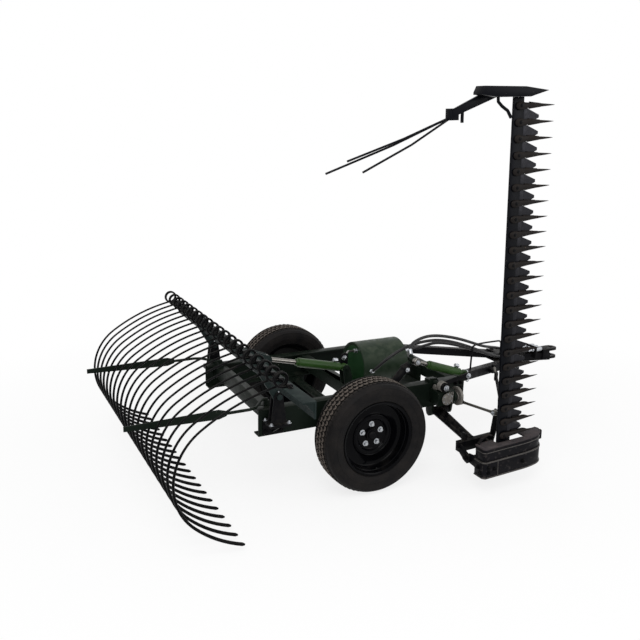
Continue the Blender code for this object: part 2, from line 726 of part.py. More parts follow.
def make_rake():
    carrier = pivot("rake_axis", RAKE_PIVOT)
    back, front, top = BEAM_BACK, BEAM_FRONT, BEAM_TOP
    outline = [(back, top), (back, top - BEAM_WALL), (front - BEAM_WALL, top - BEAM_WALL),
               (front - BEAM_WALL, top - BEAM_DEPTH), (front, top - BEAM_DEPTH), (front, top)]
    beam = plate(outline, RIGHT_END, LEFT_END, "Y")
    for side in (-1, 1):
        y = side * RAKE_POST_Y
        arm = [(-0.600, 0.752), (-0.600, 0.684), (-0.533, 0.570)] + \
            arc((RAKE_PIVOT.x, RAKE_PIVOT.z), 0.028, 180, 360, 6) + [(-0.477, 0.600), (-0.560, 0.752)]
        fuse(beam, plate(arm, y - 0.011, y + 0.011, "Y"))
        fuse(beam, rod((RAKE_PIVOT.x, y - 0.032, RAKE_PIVOT.z), (RAKE_PIVOT.x, y + 0.032, RAKE_PIVOT.z), 0.008, 8))
        for end in (-1, 1):
            head = y + end * 0.0275
            fuse(beam, rod((RAKE_PIVOT.x, head, RAKE_PIVOT.z), (RAKE_PIVOT.x, head + end * 0.010, RAKE_PIVOT.z),
                           0.015, 6))
    eye = RAKE_CYLINDER_EYE
    for side in (-1, 1):
        low, high = sorted((eye.y + side * 0.016, eye.y + side * 0.026))
        lug = eye_outline((eye.x, eye.z), 0.024, (-0.596, 0.690), (-0.596, 0.756))
        fuse(beam, plate(lug, low, high, "Y"))
        low, high = sorted((eye.y + side * 0.024, eye.y + side * 0.034))
        fuse(beam, rod((eye.x, low, eye.z), (eye.x, high, eye.z), 0.014, 6))
    # A stiffening gusset at each end and the middle of the angle.
    for y in (RIGHT_END + 0.004, 0.0, LEFT_END - 0.012):
        web = [(front - 0.004, top - 0.004), (back + 0.012, top - 0.004), (front - 0.004, top - 0.060)]
        fuse(beam, plate(web, y, y + 0.008, "Y"))
    node(beam, "rake_beam", BLACK, carrier)
    for i in range(TINE_COUNT):
        points = tine_points(tine_y(i))
        tine = wire(points, WIRE_RADIUS, 1)
        node(tine, "rake_tine_%02d" % (i + 1), BLACK, carrier, 0.5)
    print("least gap of a tine to itself: %.2f mm" % (1000 * least_self_gap(tine_points(0.0), WIRE_RADIUS)))


# Hydraulic cylinders, each a barrel and a rod on one line

def cylinder_barrel(foot, far, length, radius, eye_radius, eye_half, bore, name):
    along = (far - foot).normalized()
    tube = rod(foot + along * 0.040, foot + along * length, radius, 14, name)
    neck = rod(foot + along * 0.010, foot + along * 0.042, radius * 0.55, 8)
    side = Vector((0, 1, 0))
    ring = rod(foot - side * eye_half, foot + side * eye_half, eye_radius, 10)
    gland = rod(foot + along * (length - 0.004), foot + along * (length + 0.014), radius * 0.78, 10)
    up = Vector((0, 0, 1))
    port = rod(foot + along * 0.062, foot + along * 0.062 + up * (radius + 0.014), 0.009, 6)
    fuse(tube, neck, ring, gland, port)
    hole = rod(foot + along * (length * 0.30), foot + along * (length + 0.05), bore, 10)
    pin = rod(foot - side * 0.05, foot + side * 0.05, 0.0102, 8)
    return cut(tube, hole, pin)


def cylinder_rod(foot, far, start, radius, eye_radius, eye_half, pin_radius, name):
    along = (far - foot).normalized()
    bar = rod(foot + along * start, far - along * 0.010, radius, 10, name)
    side = Vector((0, 1, 0))
    fuse(bar, rod(far - side * eye_half, far + side * eye_half, eye_radius, 10))
    return cut(bar, rod(far - side * 0.05, far + side * 0.05, pin_radius, 8))


def make_rake_cylinder():
    foot, eye = RAKE_CYLINDER_FOOT, RAKE_CYLINDER_EYE
    swing = pivot("rake_cylinder_axis", foot)
    barrel = cylinder_barrel(foot, eye, 0.300, 0.025, 0.022, 0.0165, 0.0140, "barrel")
    node(barrel, "rake_cylinder_barrel", BRIGHT_GREEN, swing)
    bar = cylinder_rod(foot, eye, 0.168, 0.0125, 0.022, 0.0145, 0.0100, "rod")
    node(bar, "rake_cylinder_rod", STEEL, swing, 0.15, 1.0)


def make_lift_cylinder():
    anchor, end = LIFT_ANCHOR, LIFT_END
    swing = pivot("lift_cylinder_axis", anchor)
    bar = cylinder_rod(end, anchor, 0.160, 0.0110, 0.020, 0.0140, 0.0100, "rod")
    node(bar, "lift_cylinder_rod", STEEL, swing, 0.15, 1.0)
    barrel = cylinder_barrel(end, anchor, 0.262, 0.024, 0.022, 0.0120, 0.0125, "barrel")
    node(barrel, "lift_cylinder_barrel", BRIGHT_GREEN, swing)


def make_lift_lever():
    carrier = pivot("lift_lever_axis", (LEVER_PIVOT.x, LEVER_PIVOT.y, LEVER_PIVOT.z + 0.010))
    centre = (LEVER_PIVOT.x, LEVER_PIVOT.z + 0.010)
    arm = [(centre[0], centre[1] + 0.022), (0.560, 0.512), (0.620, 0.522), (0.655, 0.532)] + \
        arc((LIFT_END.x, LIFT_END.z), 0.020, 110, -90, 5) + [(0.640, 0.502), (0.560, 0.489), (centre[0], centre[1] - 0.022)]
    lever = plate(arm, -0.494, -0.484, "Y")
    boss = rod((centre[0], -0.530, centre[1]), (centre[0], -0.476, centre[1]), 0.027, 12)
    pin = rod((LIFT_END.x, -0.490, LIFT_END.z), (LIFT_END.x, -0.432, LIFT_END.z), 0.0075, 12)
    fuse(lever, boss, pin)
    bore = rod((centre[0], -0.60, centre[1]), (centre[0], -0.44, centre[1]), 0.0145, 12)
    node(cut(lever, bore), "lift_lever", CAST, carrier, 0.5, 0.6)


# Gearbox, crank and pitman

def make_drive():
    low_y, high_y = -0.506, -(RAIL_OUTER_Y + GAP)
    case = block((0.462, low_y, 0.366), (0.574, high_y, 0.448), "case")
    nose = rod((0.570, CRANK.y, CRANK.z), (0.588, CRANK.y, CRANK.z), 0.036, 12)
    rib = block((0.500, low_y - 0.008, 0.372), (0.512, low_y + 0.004, 0.440))
    cover = rod((0.518, low_y - 0.010, 0.406), (0.518, low_y + 0.004, 0.406), 0.030, 12)
    output = rod((0.580, CRANK.y, CRANK.z), (0.600, CRANK.y, CRANK.z), 0.012, 12)
    node(fuse(case, nose, rib, cover, output), "gearbox", DARK_GREEN)
    spin = pivot("crank_axis", CRANK)
    disc = rod((0.602, CRANK.y, CRANK.z), (0.616, CRANK.y, CRANK.z), 0.054, 16)
    weight = plate([(CRANK.y - 0.038, CRANK.z + 0.012), (CRANK.y + 0.038, CRANK.z + 0.012)] +
                   arc((CRANK.y, CRANK.z), 0.050, 12, 168, 8), 0.6155, 0.6200, "X")
    pin = rod((0.612, CRANK.y, CRANK.z - CRANK_RADIUS), (0.650, CRANK.y, CRANK.z - CRANK_RADIUS), 0.0095, 12)
    fuse(disc, weight, pin)
    socket = rod((0.595, CRANK.y, CRANK.z), (0.608, CRANK.y, CRANK.z), 0.0140, 12)
    node(cut(disc, socket), "crank_disc", CAST, spin, 0.4, 0.8)
    start = Vector((PITMAN_X, CRANK.y, CRANK.z - CRANK_RADIUS))
    swing = pivot("pitman_axis", start)
    along = (PITMAN_END - start).normalized()
    side = Vector((1, 0, 0))
    bar = rod(start + along * 0.018, PITMAN_END - along * 0.014, 0.008, 12)
    big = rod(start - side * 0.010, start + side * 0.010, 0.020, 12)
    small = rod(PITMAN_END - side * 0.009, PITMAN_END + side * 0.009, 0.017, 12)
    fuse(bar, big, small)
    bore = rod(start - side * 0.03, start + side * 0.03, 0.0112, 12)
    node(cut(bar, bore), "pitman_rod", CAST, swing, 0.4, 0.8)


# Drag bar with its yoke, and the turnbuckle link

def make_drag_bar():
    carrier = pivot("drag_axis", DRAG_PIVOT)
    outer = Vector((0.580, YOKE_Y, 0.205))
    tube = rod(DRAG_PIVOT + Vector((0, -0.010, -0.003)), outer, 0.025, 10)
    cross = rod((0.504, DRAG_PIVOT.y, DRAG_PIVOT.z), (0.616, DRAG_PIVOT.y, DRAG_PIVOT.z), 0.024, 10)
    brace = rod((0.512, -0.395, 0.292), (0.545, YOKE_Y + 0.005, 0.215), 0.012, 8)
    bridge = tilt(block((0.480, -0.700, 0.172), (0.712, -0.666, 0.228)))
    fuse(tube, cross, brace, bridge)
    for low, high in ((0.481, 0.495), (0.655, 0.669)):
        outline = eye_outline((HINGE.y, HINGE.z), 0.026, (-0.690, 0.222), (-0.690, 0.176))
        fuse(tube, tilt(plate(outline, low, high, "X")))
    fuse(tube, tilt(rod((0.470, HINGE.y, HINGE.z), (0.680, HINGE.y, HINGE.z), 0.010, 8)))
    # The upright arm stands ahead of the bar and takes the turnbuckle's lower end.
    arm = [(-0.760, 0.385), (-0.716, 0.395), (-0.690, 0.200), (-0.715, 0.180)]
    upright = plate(arm, 0.684, 0.696, "X")
    hook = block((0.520, -0.690, 0.222), (0.534, -0.655, 0.262))
    fuse(tube, upright, hook)
    bore = rod((0.48, DRAG_PIVOT.y, DRAG_PIVOT.z), (0.64, DRAG_PIVOT.y, DRAG_PIVOT.z), 0.0122, 10)
    node(cut(tube, bore), "drag_bar", BLACK, carrier)


def make_turnbuckle():
    top, low = LINK_TOP, LINK_LOW
    carrier = pivot("turnbuckle_axis", top)
    along = (low - top).normalized()
    length = (low - top).length
    across = along.cross(Vector((0, 0, 1))).normalized()
    upper = rod(top, top + along * LINK_END, 0.007, 8)
    lower = rod(low - along * LINK_END, low, 0.007, 8)
    ends = [block((-0.010, -0.024, -0.012), (0.010, 0.024, 0.012)) for _ in range(2)]
    places = (top + along * (LINK_END - 0.005), low - along * (LINK_END - 0.005))
    turn = along.to_track_quat("Z", "Y").to_matrix().to_4x4()
    for end, place in zip(ends, places):
        end.data.transform(Matrix.Translation(place) @ turn)
    sides = []
    for sign in (-1, 1):
        offset = turn.to_3x3() @ Vector((0.0, sign * 0.0165, 0.0))
        sides.append(rod(places[0] + offset, places[1] + offset, 0.0055, 8))
    eye_top = rod(top - Vector((0, 0, 0.008)), top + Vector((0, 0, 0.008)), 0.016, 12)
    eye_low = rod(low - across * 0.006, low + across * 0.006, 0.016, 12)
    fuse(upper, ends[0], sides[0], sides[1], ends[1], lower, eye_top, eye_low)
    node(upper, "turnbuckle_link", STEEL, carrier, 0.4, 0.7)
    print("turnbuckle link length: %.3f m" % length)


# Inner shoe, finger bar, knife and outer shoe

def shoe_line(inset):
    # The shoe's plan, from its rear inner corner round the outside to the upturned nose, drawn in by an inset.
    plan = [Vector((BAR_BACK_X + forward, BAR_FACE_Y + up)) for forward, up in SHOE_PLAN]
    sides = [(b - a).normalized() for a, b in zip(plan, plan[1:])]
    line = []
    for corner, before, after in zip(plan, sides[:1] + sides, sides + sides[-1:]):
        along = (before + after).normalized()
        line.append(tuple(corner + Vector((-along.y, along.x)) * inset / along.dot(before)))
    return line


def shoe_band(outer, inner, low, high):
    return plate(shoe_line(outer) + shoe_line(inner)[::-1], low, high, "Z")


def make_inner_shoe(carrier):
    shoe = shoe_band(0.0, SHOE_WALL, SHOE_LOW, SHOE_STEP)
    upper = shoe_band(0.004, 0.004 + SHOE_WALL, SHOE_STEP - 0.006, SHOE_HIGH - 0.008)
    sole = plate(shoe_line(0.002), SHOE_LOW + 0.004, SHOE_LOW + 0.012, "Z")
    deck = plate(shoe_line(0.002), SHOE_HIGH - 0.010, SHOE_HIGH, "Z")
    # The deck is open where the finger bar and the knife pass through it.
    cut(deck, bar_block((-0.0005, 0.185), (-0.0003, 0.070), (SHOE_HIGH - 0.030, SHOE_HIGH + 0.020)))
    seat = bar_block((-0.030, 0.110), (-0.0285, -GAP), (SHOE_STEP - 0.003, SHOE_HIGH - 0.004))
    fuse(shoe, upper, sole, baked(deck, "deck"), seat)
    for low, high in ((0.4965, 0.5110), (0.6385, 0.6530)):
        outline = eye_outline((HINGE.y, HINGE.z), 0.024, (BAR_FACE_Y - 0.033, 0.199), (BAR_FACE_Y - 0.033, 0.120))
        fuse(shoe, plate(outline, low, high, "X"))
    cut(shoe, rod((0.45, HINGE.y, HINGE.z), (0.70, HINGE.y, HINGE.z), 0.0120, 12))
    node(tilt(baked(shoe, "shoe")), "inner_shoe", BLACK, carrier)


def guard(z):
    # One guard: a wing bolted under the bar that runs out into the long tapered finger, and the lip over the knife.
    outline = [(0.006, -0.009), (0.080, -0.034), (0.136, -0.012), (GUARD_REACH, 0.0), (0.136, 0.011), (0.070, 0.020),
               (0.006, 0.009)]
    low, high = BAR_FACE_Y - 0.014, BAR_FACE_Y + 0.001
    finger = plate([(BAR_BACK_X + forward, z + along) for forward, along in outline], low, high, "Y")
    for corner in finger.data.vertices:
        share = max((corner.co.x - BAR_BACK_X - 0.100) / (GUARD_REACH - 0.100), 0.0)
        corner.co.y += (BAR_FACE_Y - 0.003 - corner.co.y) * 0.85 * share
    lip = [(0.128, 0.0106), (0.172, 0.0106), (0.172, -0.006), (0.190, -0.006), (0.176, 0.0165)]
    hood = plate([(BAR_BACK_X + forward, BAR_FACE_Y + up) for forward, up in lip], z - 0.006, z + 0.006, "Z")
    return fuse_now(finger, hood)


def make_finger_bar(carrier):
    bar = bar_block((0.0, BAR_WIDTH), (0.0, BAR_THICKNESS), (BAR_INNER_Z, BAR_OUTER_Z))
    guards = joined([guard(FIRST_GUARD_Z + i * GUARD_PITCH) for i in range(GUARD_COUNT)], "guards")
    node(tilt(fuse(bar, guards)), "finger_bar", BLACK, carrier)


def make_knife(carrier):
    start = FIRST_GUARD_Z - GUARD_PITCH / 2 + 0.025
    back = bar_block((0.066, 0.086), (0.0013, 0.0085), (start - 0.040, start + SECTION_COUNT * GUARD_PITCH))
    outline = [(0.0700, start)]
    for i in range(SECTION_COUNT):
        z = start + i * GUARD_PITCH
        outline += [(0.092, z + 0.001), (0.163, z + 0.031), (0.163, z + 0.045), (0.092, z + 0.0752)]
    outline.append((0.0700, start + SECTION_COUNT * GUARD_PITCH))
    places = [(BAR_BACK_X + f, z) for f, z in outline]
    sections = plate(places, BAR_FACE_Y + 0.0073, BAR_FACE_Y + 0.0103, "Y")
    head = rod((BAR_BACK_X + 0.076, BAR_FACE_Y + 0.004, start - 0.030), (BAR_BACK_X + 0.076, BAR_FACE_Y + 0.034, start - 0.030),
               0.0115, 10)
    node(tilt(fuse(back, sections, head)), "knife", STEEL, carrier, 0.35, 0.9)


def make_outer_shoe(carrier):
    x, z = BAR_BACK_X, BAR_OUTER_Z + GAP
    outline = [(x - 0.215, z + 0.022), (x - 0.200, z + 0.050), (x + 0.040, z + 0.046), (x + 0.180, z + 0.028),
               (x + 0.070, z), (x - 0.120, z), (x - 0.215, z + 0.012)]
    shoe = plate(outline, BAR_FACE_Y - 0.036, BAR_FACE_Y + 0.030, "Y")
    # A bent bracket ties the shoe's underside to the back edge of the bar.
    bracket = bent_rod([(x - 0.090, BAR_FACE_Y + 0.006, z + 0.006), (x - 0.088, BAR_FACE_Y + 0.006, z - 0.020),
                        (x - 0.066, BAR_FACE_Y + 0.006, z - 0.040), (x - 0.030, BAR_FACE_Y + 0.006, z - 0.062),
                        (x - 0.0085, BAR_FACE_Y + 0.006, z - 0.094)], 0.008)
    node(tilt(fuse(shoe, bracket)), "outer_shoe", BLACK, carrier)
    # The swath board lies on the shoe's inner face, and three rods trail from its end.
    near, far = BAR_FACE_Y + 0.030 + GAP, BAR_FACE_Y + 0.040
    outline = [(x - 0.060, z + 0.034), (x - 0.110, z + 0.040), (x - 0.330, z - 0.052), (x - 0.322, z - 0.084),
               (x - 0.060, z + 0.006)]
    board = plate(outline, near, far, "Y")
    clamp = block((x - 0.345, near + 0.001, z - 0.098), (x - 0.290, far + 0.018, z - 0.046))
    lug = block((x - 0.275, near + 0.001, z - 0.110), (x - 0.262, far - 0.001, z - 0.040))
    fuse(board, clamp, lug)
    y = far + 0.009
    ends = ((-0.860, -0.255, 0.000), (-0.950, -0.305, 0.030), (-0.790, -0.305, -0.012))
    for dx, dz, dy in ends:
        middle = (x + dx * 0.55 - 0.10, y + dy * 0.4, z + dz * 0.55 - 0.030)
        board_end = (x - 0.310, y + dy * 0.1, z - 0.074 + dz * 0.02)
        fuse(board, bent_rod([board_end, middle, (x + dx, y + dy, z + dz)], 0.005))
    node(tilt(board), "swath_board", BLACK, carrier)


def make_cutter_bar():
    carrier = pivot("fold_axis", HINGE)
    make_inner_shoe(carrier)
    make_finger_bar(carrier)
    make_knife(carrier)
    make_outer_shoe(carrier)


# Hoses

def smooth_route(points, spacing):
    # Points along a smooth curve through the route's own points.
    route = [Vector(p) for p in points]
    route = [2 * route[0] - route[1]] + route + [2 * route[-1] - route[-2]]
    line = []
    for a, b, c, d in zip(route, route[1:], route[2:], route[3:]):
        steps = max(1, round((c - b).length / spacing))
        for k in range(steps):
            t = k / steps
            line.append(0.5 * ((2 * b) + (c - a) * t + (2 * a - 5 * b + 4 * c - d) * t ** 2 +
                               (3 * b - a - 3 * c + d) * t ** 3))
    line.append(route[-2])
    return line


HOSE_ROUTES = {
    "hose_pressure": [(0.2399, -0.1583, 0.4972), (0.2286, -0.1880, 0.5110), (0.2420, -0.2200, 0.5450),
                      (0.2850, -0.2480, 0.5950), (0.3500, -0.2600, 0.6350), (0.4300, -0.2600, 0.6600),
                      (0.5200, -0.2570, 0.6700), (0.6200, -0.2500, 0.6650), (0.7300, -0.2430, 0.6400),
                      (0.8500, -0.2330, 0.5980), (0.9700, -0.2130, 0.5480), (1.0900, -0.1780, 0.4960),
                      (1.2100, -0.1300, 0.4560), (1.3200, -0.0900, 0.4410), (1.4200, -0.0480, 0.4340),
                      (1.5100, -0.0360, 0.4326), (1.5597, -0.0360, 0.4326)],
    "hose_return": [(0.5303, -0.0600, 0.5600), (0.5680, -0.0600, 0.5600), (0.6350, -0.0700, 0.5740),
                    (0.7200, -0.0900, 0.5920), (0.8200, -0.1100, 0.5800), (0.9300, -0.1220, 0.5480),
                    (1.0500, -0.1200, 0.5060), (1.1700, -0.1000, 0.4700), (1.2900, -0.0600, 0.4460),
                    (1.4050, -0.0150, 0.4340), (1.5100, 0.0000, 0.4326), (1.5597, 0.0000, 0.4326)],
    "hose_lift": [(0.3400, -0.3940, 0.6520), (0.3420, -0.3800, 0.6750), (0.3700, -0.3580, 0.7000),
                  (0.4300, -0.3300, 0.7120), (0.5100, -0.3020, 0.7140), (0.6000, -0.2800, 0.7020),
                  (0.7000, -0.2620, 0.6780), (0.8000, -0.2380, 0.6460), (0.9200, -0.1980, 0.6000),
                  (1.0400, -0.1400, 0.5520), (1.1600, -0.0600, 0.5080), (1.2700, 0.0060, 0.4720),
                  (1.3950, 0.0340, 0.4400), (1.5100, 0.0360, 0.4326), (1.5597, 0.0360, 0.4326)],
}


def make_hoses():
    for name, route in HOSE_ROUTES.items():
        line = smooth_route(route, 3 * 2 * HOSE_RADIUS)
        hose = wire(line, HOSE_RADIUS, 2)
        node(hose, name, BLACK, MACHINE, 0.6)
        length = sum((b - a).length for a, b in zip(line, line[1:]))
        print("%s length: %.3f m" % (name, length))


for wheel_side, wheel_word in ((-1, "right"), (1, "left")):
    make_wheel(wheel_side, wheel_word)
    make_rake_post(wheel_side, wheel_word)
make_axle()
make_rails()
make_bearers()
make_drawbar()
make_hitch()
make_tank()
make_rake()
make_rake_cylinder()
make_lift_cylinder()
make_lift_lever()
make_drive()
make_drag_bar()
make_turnbuckle()
make_cutter_bar()
make_hoses()
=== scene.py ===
import json
import math

import bpy
from mathutils import Matrix, Vector

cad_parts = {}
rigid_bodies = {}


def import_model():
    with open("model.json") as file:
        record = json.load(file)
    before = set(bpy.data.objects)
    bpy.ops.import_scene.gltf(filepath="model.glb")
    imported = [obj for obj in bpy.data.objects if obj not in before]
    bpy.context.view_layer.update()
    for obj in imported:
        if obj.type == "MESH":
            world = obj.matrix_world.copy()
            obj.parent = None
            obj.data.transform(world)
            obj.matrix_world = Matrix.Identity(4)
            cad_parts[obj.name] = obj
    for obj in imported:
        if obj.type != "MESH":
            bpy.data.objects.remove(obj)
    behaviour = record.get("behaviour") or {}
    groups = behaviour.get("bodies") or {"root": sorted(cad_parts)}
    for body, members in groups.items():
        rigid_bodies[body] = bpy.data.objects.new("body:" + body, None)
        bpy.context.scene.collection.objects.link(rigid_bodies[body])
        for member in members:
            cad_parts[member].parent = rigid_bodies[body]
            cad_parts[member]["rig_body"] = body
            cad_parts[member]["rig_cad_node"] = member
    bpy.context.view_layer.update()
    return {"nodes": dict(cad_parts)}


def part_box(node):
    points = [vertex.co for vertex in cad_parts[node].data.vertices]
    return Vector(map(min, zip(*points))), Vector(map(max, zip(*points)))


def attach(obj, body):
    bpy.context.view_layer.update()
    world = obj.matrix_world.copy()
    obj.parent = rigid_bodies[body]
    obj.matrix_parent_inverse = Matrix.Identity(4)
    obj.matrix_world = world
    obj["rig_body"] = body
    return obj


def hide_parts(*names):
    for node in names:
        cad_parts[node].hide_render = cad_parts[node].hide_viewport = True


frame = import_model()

# Camera, light and floor
# The mower is seen from behind its right wheel, from a little above a standing person's eyes.
# A plain pale floor and soft light from a large lamp and a white sky stand in for a studio.
axle_low, axle_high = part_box("axle_tube")
AXLE_X = (axle_low.x + axle_high.x) / 2
AXLE_Y = (axle_low.y + axle_high.y) / 2


def at(x, y, z):
    # A point given from the middle of the wheel axle along X and Y, and from the ground along Z.
    return Vector((x + AXLE_X, y + AXLE_Y, z))


CAMERA_PLACE = at(-1.93, -3.711, 1.895)
CAMERA_HEADING = math.radians(62.87)
CAMERA_PITCH = math.radians(14.82)
CAMERA_ROLL = math.radians(1.2)
CAMERA_LENS = 42.4
SENSOR_WIDTH = 36.0
CAMERA_REACH = 200.0
bpy.ops.object.camera_add(location=CAMERA_PLACE)
camera = bpy.context.object
turn = Matrix.Rotation(CAMERA_HEADING - math.pi / 2, 4, "Z") @ Matrix.Rotation(math.pi / 2 - CAMERA_PITCH, 4, "X")
camera.matrix_world = Matrix.Translation(CAMERA_PLACE) @ turn @ Matrix.Rotation(CAMERA_ROLL, 4, "Z")
camera.data.lens = CAMERA_LENS
camera.data.sensor_width = SENSOR_WIDTH
camera.data.clip_end = CAMERA_REACH
bpy.context.scene.camera = camera
bpy.context.scene.view_settings.view_transform = "Standard"


def colour(code):
    # An sRGB hex value as linear red, green, blue and alpha.
    parts = [int(code[i:i + 2], 16) / 255 for i in (1, 3, 5)]
    return [p / 12.92 if p <= 0.04045 else ((p + 0.055) / 1.055) ** 2.4 for p in parts] + [1.0]


def add_node(tree, kind, inputs, **settings):
    # Adds a node with its settings; each input is a value, or another node's output to link.
    made = tree.nodes.new(kind)
    for name, value in settings.items():
        setattr(made, name, value)
    for socket, value in inputs.items():
        if isinstance(value, bpy.types.NodeSocket):
            tree.links.new(value, made.inputs[socket])
        else:
            made.inputs[socket].default_value = value
    return made


def looked_at(tree):
    # 1 where the camera sees a surface itself or in a gloss, and 0 where that surface lights another.
    path = add_node(tree, "ShaderNodeLightPath", {})
    return add_node(tree, "ShaderNodeMath", {0: path.outputs["Is Camera Ray"], 1: path.outputs["Is Glossy Ray"]},
                    operation="MAXIMUM").outputs[0]


SKY_LIGHT = 0.62
KEY_WATTS = 210.0
FILL_WATTS = 60.0
world = bpy.data.worlds.new("white_sky")
bpy.context.scene.world = world
world.use_nodes = True
sky = world.node_tree
sky.nodes.clear()
dim = add_node(sky, "ShaderNodeBackground", {"Color": colour("#ffffff"), "Strength": SKY_LIGHT})
plain = add_node(sky, "ShaderNodeBackground", {"Color": colour("#ffffff"), "Strength": 1.0})
both = add_node(sky, "ShaderNodeMixShader", {0: looked_at(sky), 1: dim.outputs[0], 2: plain.outputs[0]})
add_node(sky, "ShaderNodeOutputWorld", {"Surface": both.outputs[0]})


def soft_lamp(name, place, target, size, watts):
    # A square lamp at a place, aimed at a target.
    bpy.ops.object.light_add(type="AREA", location=place)
    lamp = bpy.context.object
    lamp.name = name
    lamp.data.size = size
    lamp.data.energy = watts
    aim = (Vector(target) - Vector(place)).to_track_quat("-Z", "Y")
    lamp.rotation_euler = aim.to_euler()


soft_lamp("key_lamp", at(-2.5, -4.0, 5.5), at(0.2, -0.3, 0.5), 4.0, KEY_WATTS)
soft_lamp("fill_lamp", at(3.5, -4.5, 3.0), at(0.4, -0.3, 0.5), 3.0, FILL_WATTS)

FLOOR_SIZE = 60.0
FLOOR_DROP = 0.0005
FADE_FROM = 1.2
FADE_TO = 3.2
FADE_START = 0.8
bpy.ops.mesh.primitive_plane_add(size=FLOOR_SIZE, location=(0.0, 0.0, -FLOOR_DROP))
floor = bpy.context.object
floor.name = "studio_floor"
# White emulsion: it takes the mower's soft shadow close by, and is as white as the sky further off.
floor_paint = bpy.data.materials.new("matt_white_floor")
floor_paint.use_nodes = True
tree = floor_paint.node_tree
floor_shader = tree.nodes["Principled BSDF"]
floor_shader.inputs["Base Color"].default_value = colour("#f6f6f6")
floor_shader.inputs["Roughness"].default_value = 0.9
floor_shader.inputs["Specular IOR Level"].default_value = 0.1
white = add_node(tree, "ShaderNodeEmission", {"Color": colour("#ffffff"), "Strength": 1.0})
spot = add_node(tree, "ShaderNodeNewGeometry", {}).outputs["Position"]
away = add_node(tree, "ShaderNodeVectorMath", {0: spot}, operation="LENGTH").outputs["Value"]
fade = add_node(tree, "ShaderNodeMapRange", {0: away, 1: FADE_FROM, 2: FADE_TO, 3: FADE_START, 4: 1.0})
share = add_node(tree, "ShaderNodeMath", {0: looked_at(tree), 1: fade.outputs[0]}, operation="MULTIPLY")
blend = add_node(tree, "ShaderNodeMixShader", {0: share.outputs[0], 1: floor_shader.outputs[0], 2: white.outputs[0]})
tree.links.new(blend.outputs[0], tree.nodes["Material Output"].inputs["Surface"])
floor.data.materials.append(floor_paint)


# Hydraulic hoses
# Three rubber hoses with a woven wire core run from the tank and the lift cylinder to the tractor.
# Each ends in a crimped zinc sleeve, and is stiff enough to stand in a long arch over the drawbar.
HOSE_DIAMETER = 0.018
HOSE_STEP = 0.05
MERGE_GAP = 0.00002


def mm(*points):
    # Points given in millimetres, as metres.
    return [tuple(value / 1000 for value in point) for point in points]


HOSE_ROUTES = {
    "hose_pressure": mm(
        (239.9, -158.3, 497.2), (228.6, -188, 511), (242, -220, 545), (285, -248, 595), (350, -260, 635),
        (430, -260, 660), (520, -257, 670), (620, -250, 665), (730, -243, 640), (850, -233, 598), (970, -213, 548),
        (1090, -178, 496), (1210, -130, 456), (1320, -90, 441), (1420, -48, 434), (1510, -36, 432.6),
        (1559.7, -36, 432.6)),
    "hose_return": mm(
        (530.3, -60, 560), (568, -60, 560), (635, -70, 574), (720, -90, 592), (820, -110, 580), (930, -122, 548),
        (1050, -120, 506), (1170, -100, 470), (1290, -60, 446), (1405, -15, 434), (1510, 0, 432.6),
        (1559.7, 0, 432.6)),
    "hose_lift": mm(
        (340, -394, 652), (342, -380, 675), (370, -358, 700), (430, -330, 712), (510, -302, 714), (600, -280, 702),
        (700, -262, 678), (800, -238, 646), (920, -198, 600), (1040, -140, 552), (1160, -60, 508), (1270, 6, 472),
        (1395, 34, 440), (1510, 36, 432.6), (1559.7, 36, 432.6)),
}


def deselect():
    # Leaves edit mode and selects nothing, because an operator acts on all that is selected.
    if bpy.context.object is not None and bpy.context.object.mode != "OBJECT":
        bpy.ops.object.mode_set(mode="OBJECT")
    bpy.ops.object.select_all(action="DESELECT")


def only(piece):
    # Selects this piece alone.
    deselect()
    piece.select_set(True)
    bpy.context.view_layer.objects.active = piece
    return piece


def mount(piece, body, finish, slot, *nodes):
    # Gives a finished piece its material and its body, and hides the nodes that it stands for. Its slot is not used.
    piece.data.materials.clear()
    piece.data.materials.append(finish)
    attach(piece, body)
    if nodes:
        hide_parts(*nodes)
    return piece


def smooth_line(points, spacing):
    # Points read from a smooth curve through the route's own points.
    route = [Vector(p) for p in points]
    route = [2 * route[0] - route[1]] + route + [2 * route[-1] - route[-2]]
    line = []
    for a, b, c, d in zip(route, route[1:], route[2:], route[3:]):
        steps = max(1, round((c - b).length / spacing))
        for k in range(steps):
            t = k / steps
            square, cube = 2 * a - 5 * b + 4 * c - d, 3 * b - a - 3 * c + d
            line.append(0.5 * (2 * b + (c - a) * t + square * t ** 2 + cube * t ** 3))
    return line + [route[-2]]


def tube_curve(name, points, radius, resolution=4, swell=None):
    # A round tube along a line of points, with closed ends; swell gives each point its share of the radius.
    data = bpy.data.curves.new(name, "CURVE")
    data.dimensions = "3D"
    data.bevel_depth = radius
    data.bevel_resolution = resolution
    data.use_fill_caps = True
    spline = data.splines.new("POLY")
    spline.points.add(len(points) - 1)
    for i, place in enumerate(points):
        spline.points[i].co = (place[0], place[1], place[2], 1.0)
        spline.points[i].radius = 1.0 if swell is None else swell[i]
    tube = bpy.data.objects.new(name, data)
    bpy.context.scene.collection.objects.link(tube)
    return tube


def merge_all():
    # Selects the whole mesh in edit mode and merges the points that lie on one another.
    bpy.ops.mesh.select_all(action="SELECT")
    bpy.ops.mesh.remove_doubles(threshold=MERGE_GAP)


def bent_bar(name, points, radius, resolution=4, swell=None):
    # The same tube made a mesh, its caps welded to its wall.
    tube = only(tube_curve(name, points, radius, resolution, swell))
    bpy.ops.object.convert(target="MESH")
    bpy.ops.object.mode_set(mode="EDIT")
    merge_all()
    bpy.ops.object.mode_set(mode="OBJECT")
    bpy.ops.object.shade_smooth_by_angle(angle=math.radians(40))
    return tube


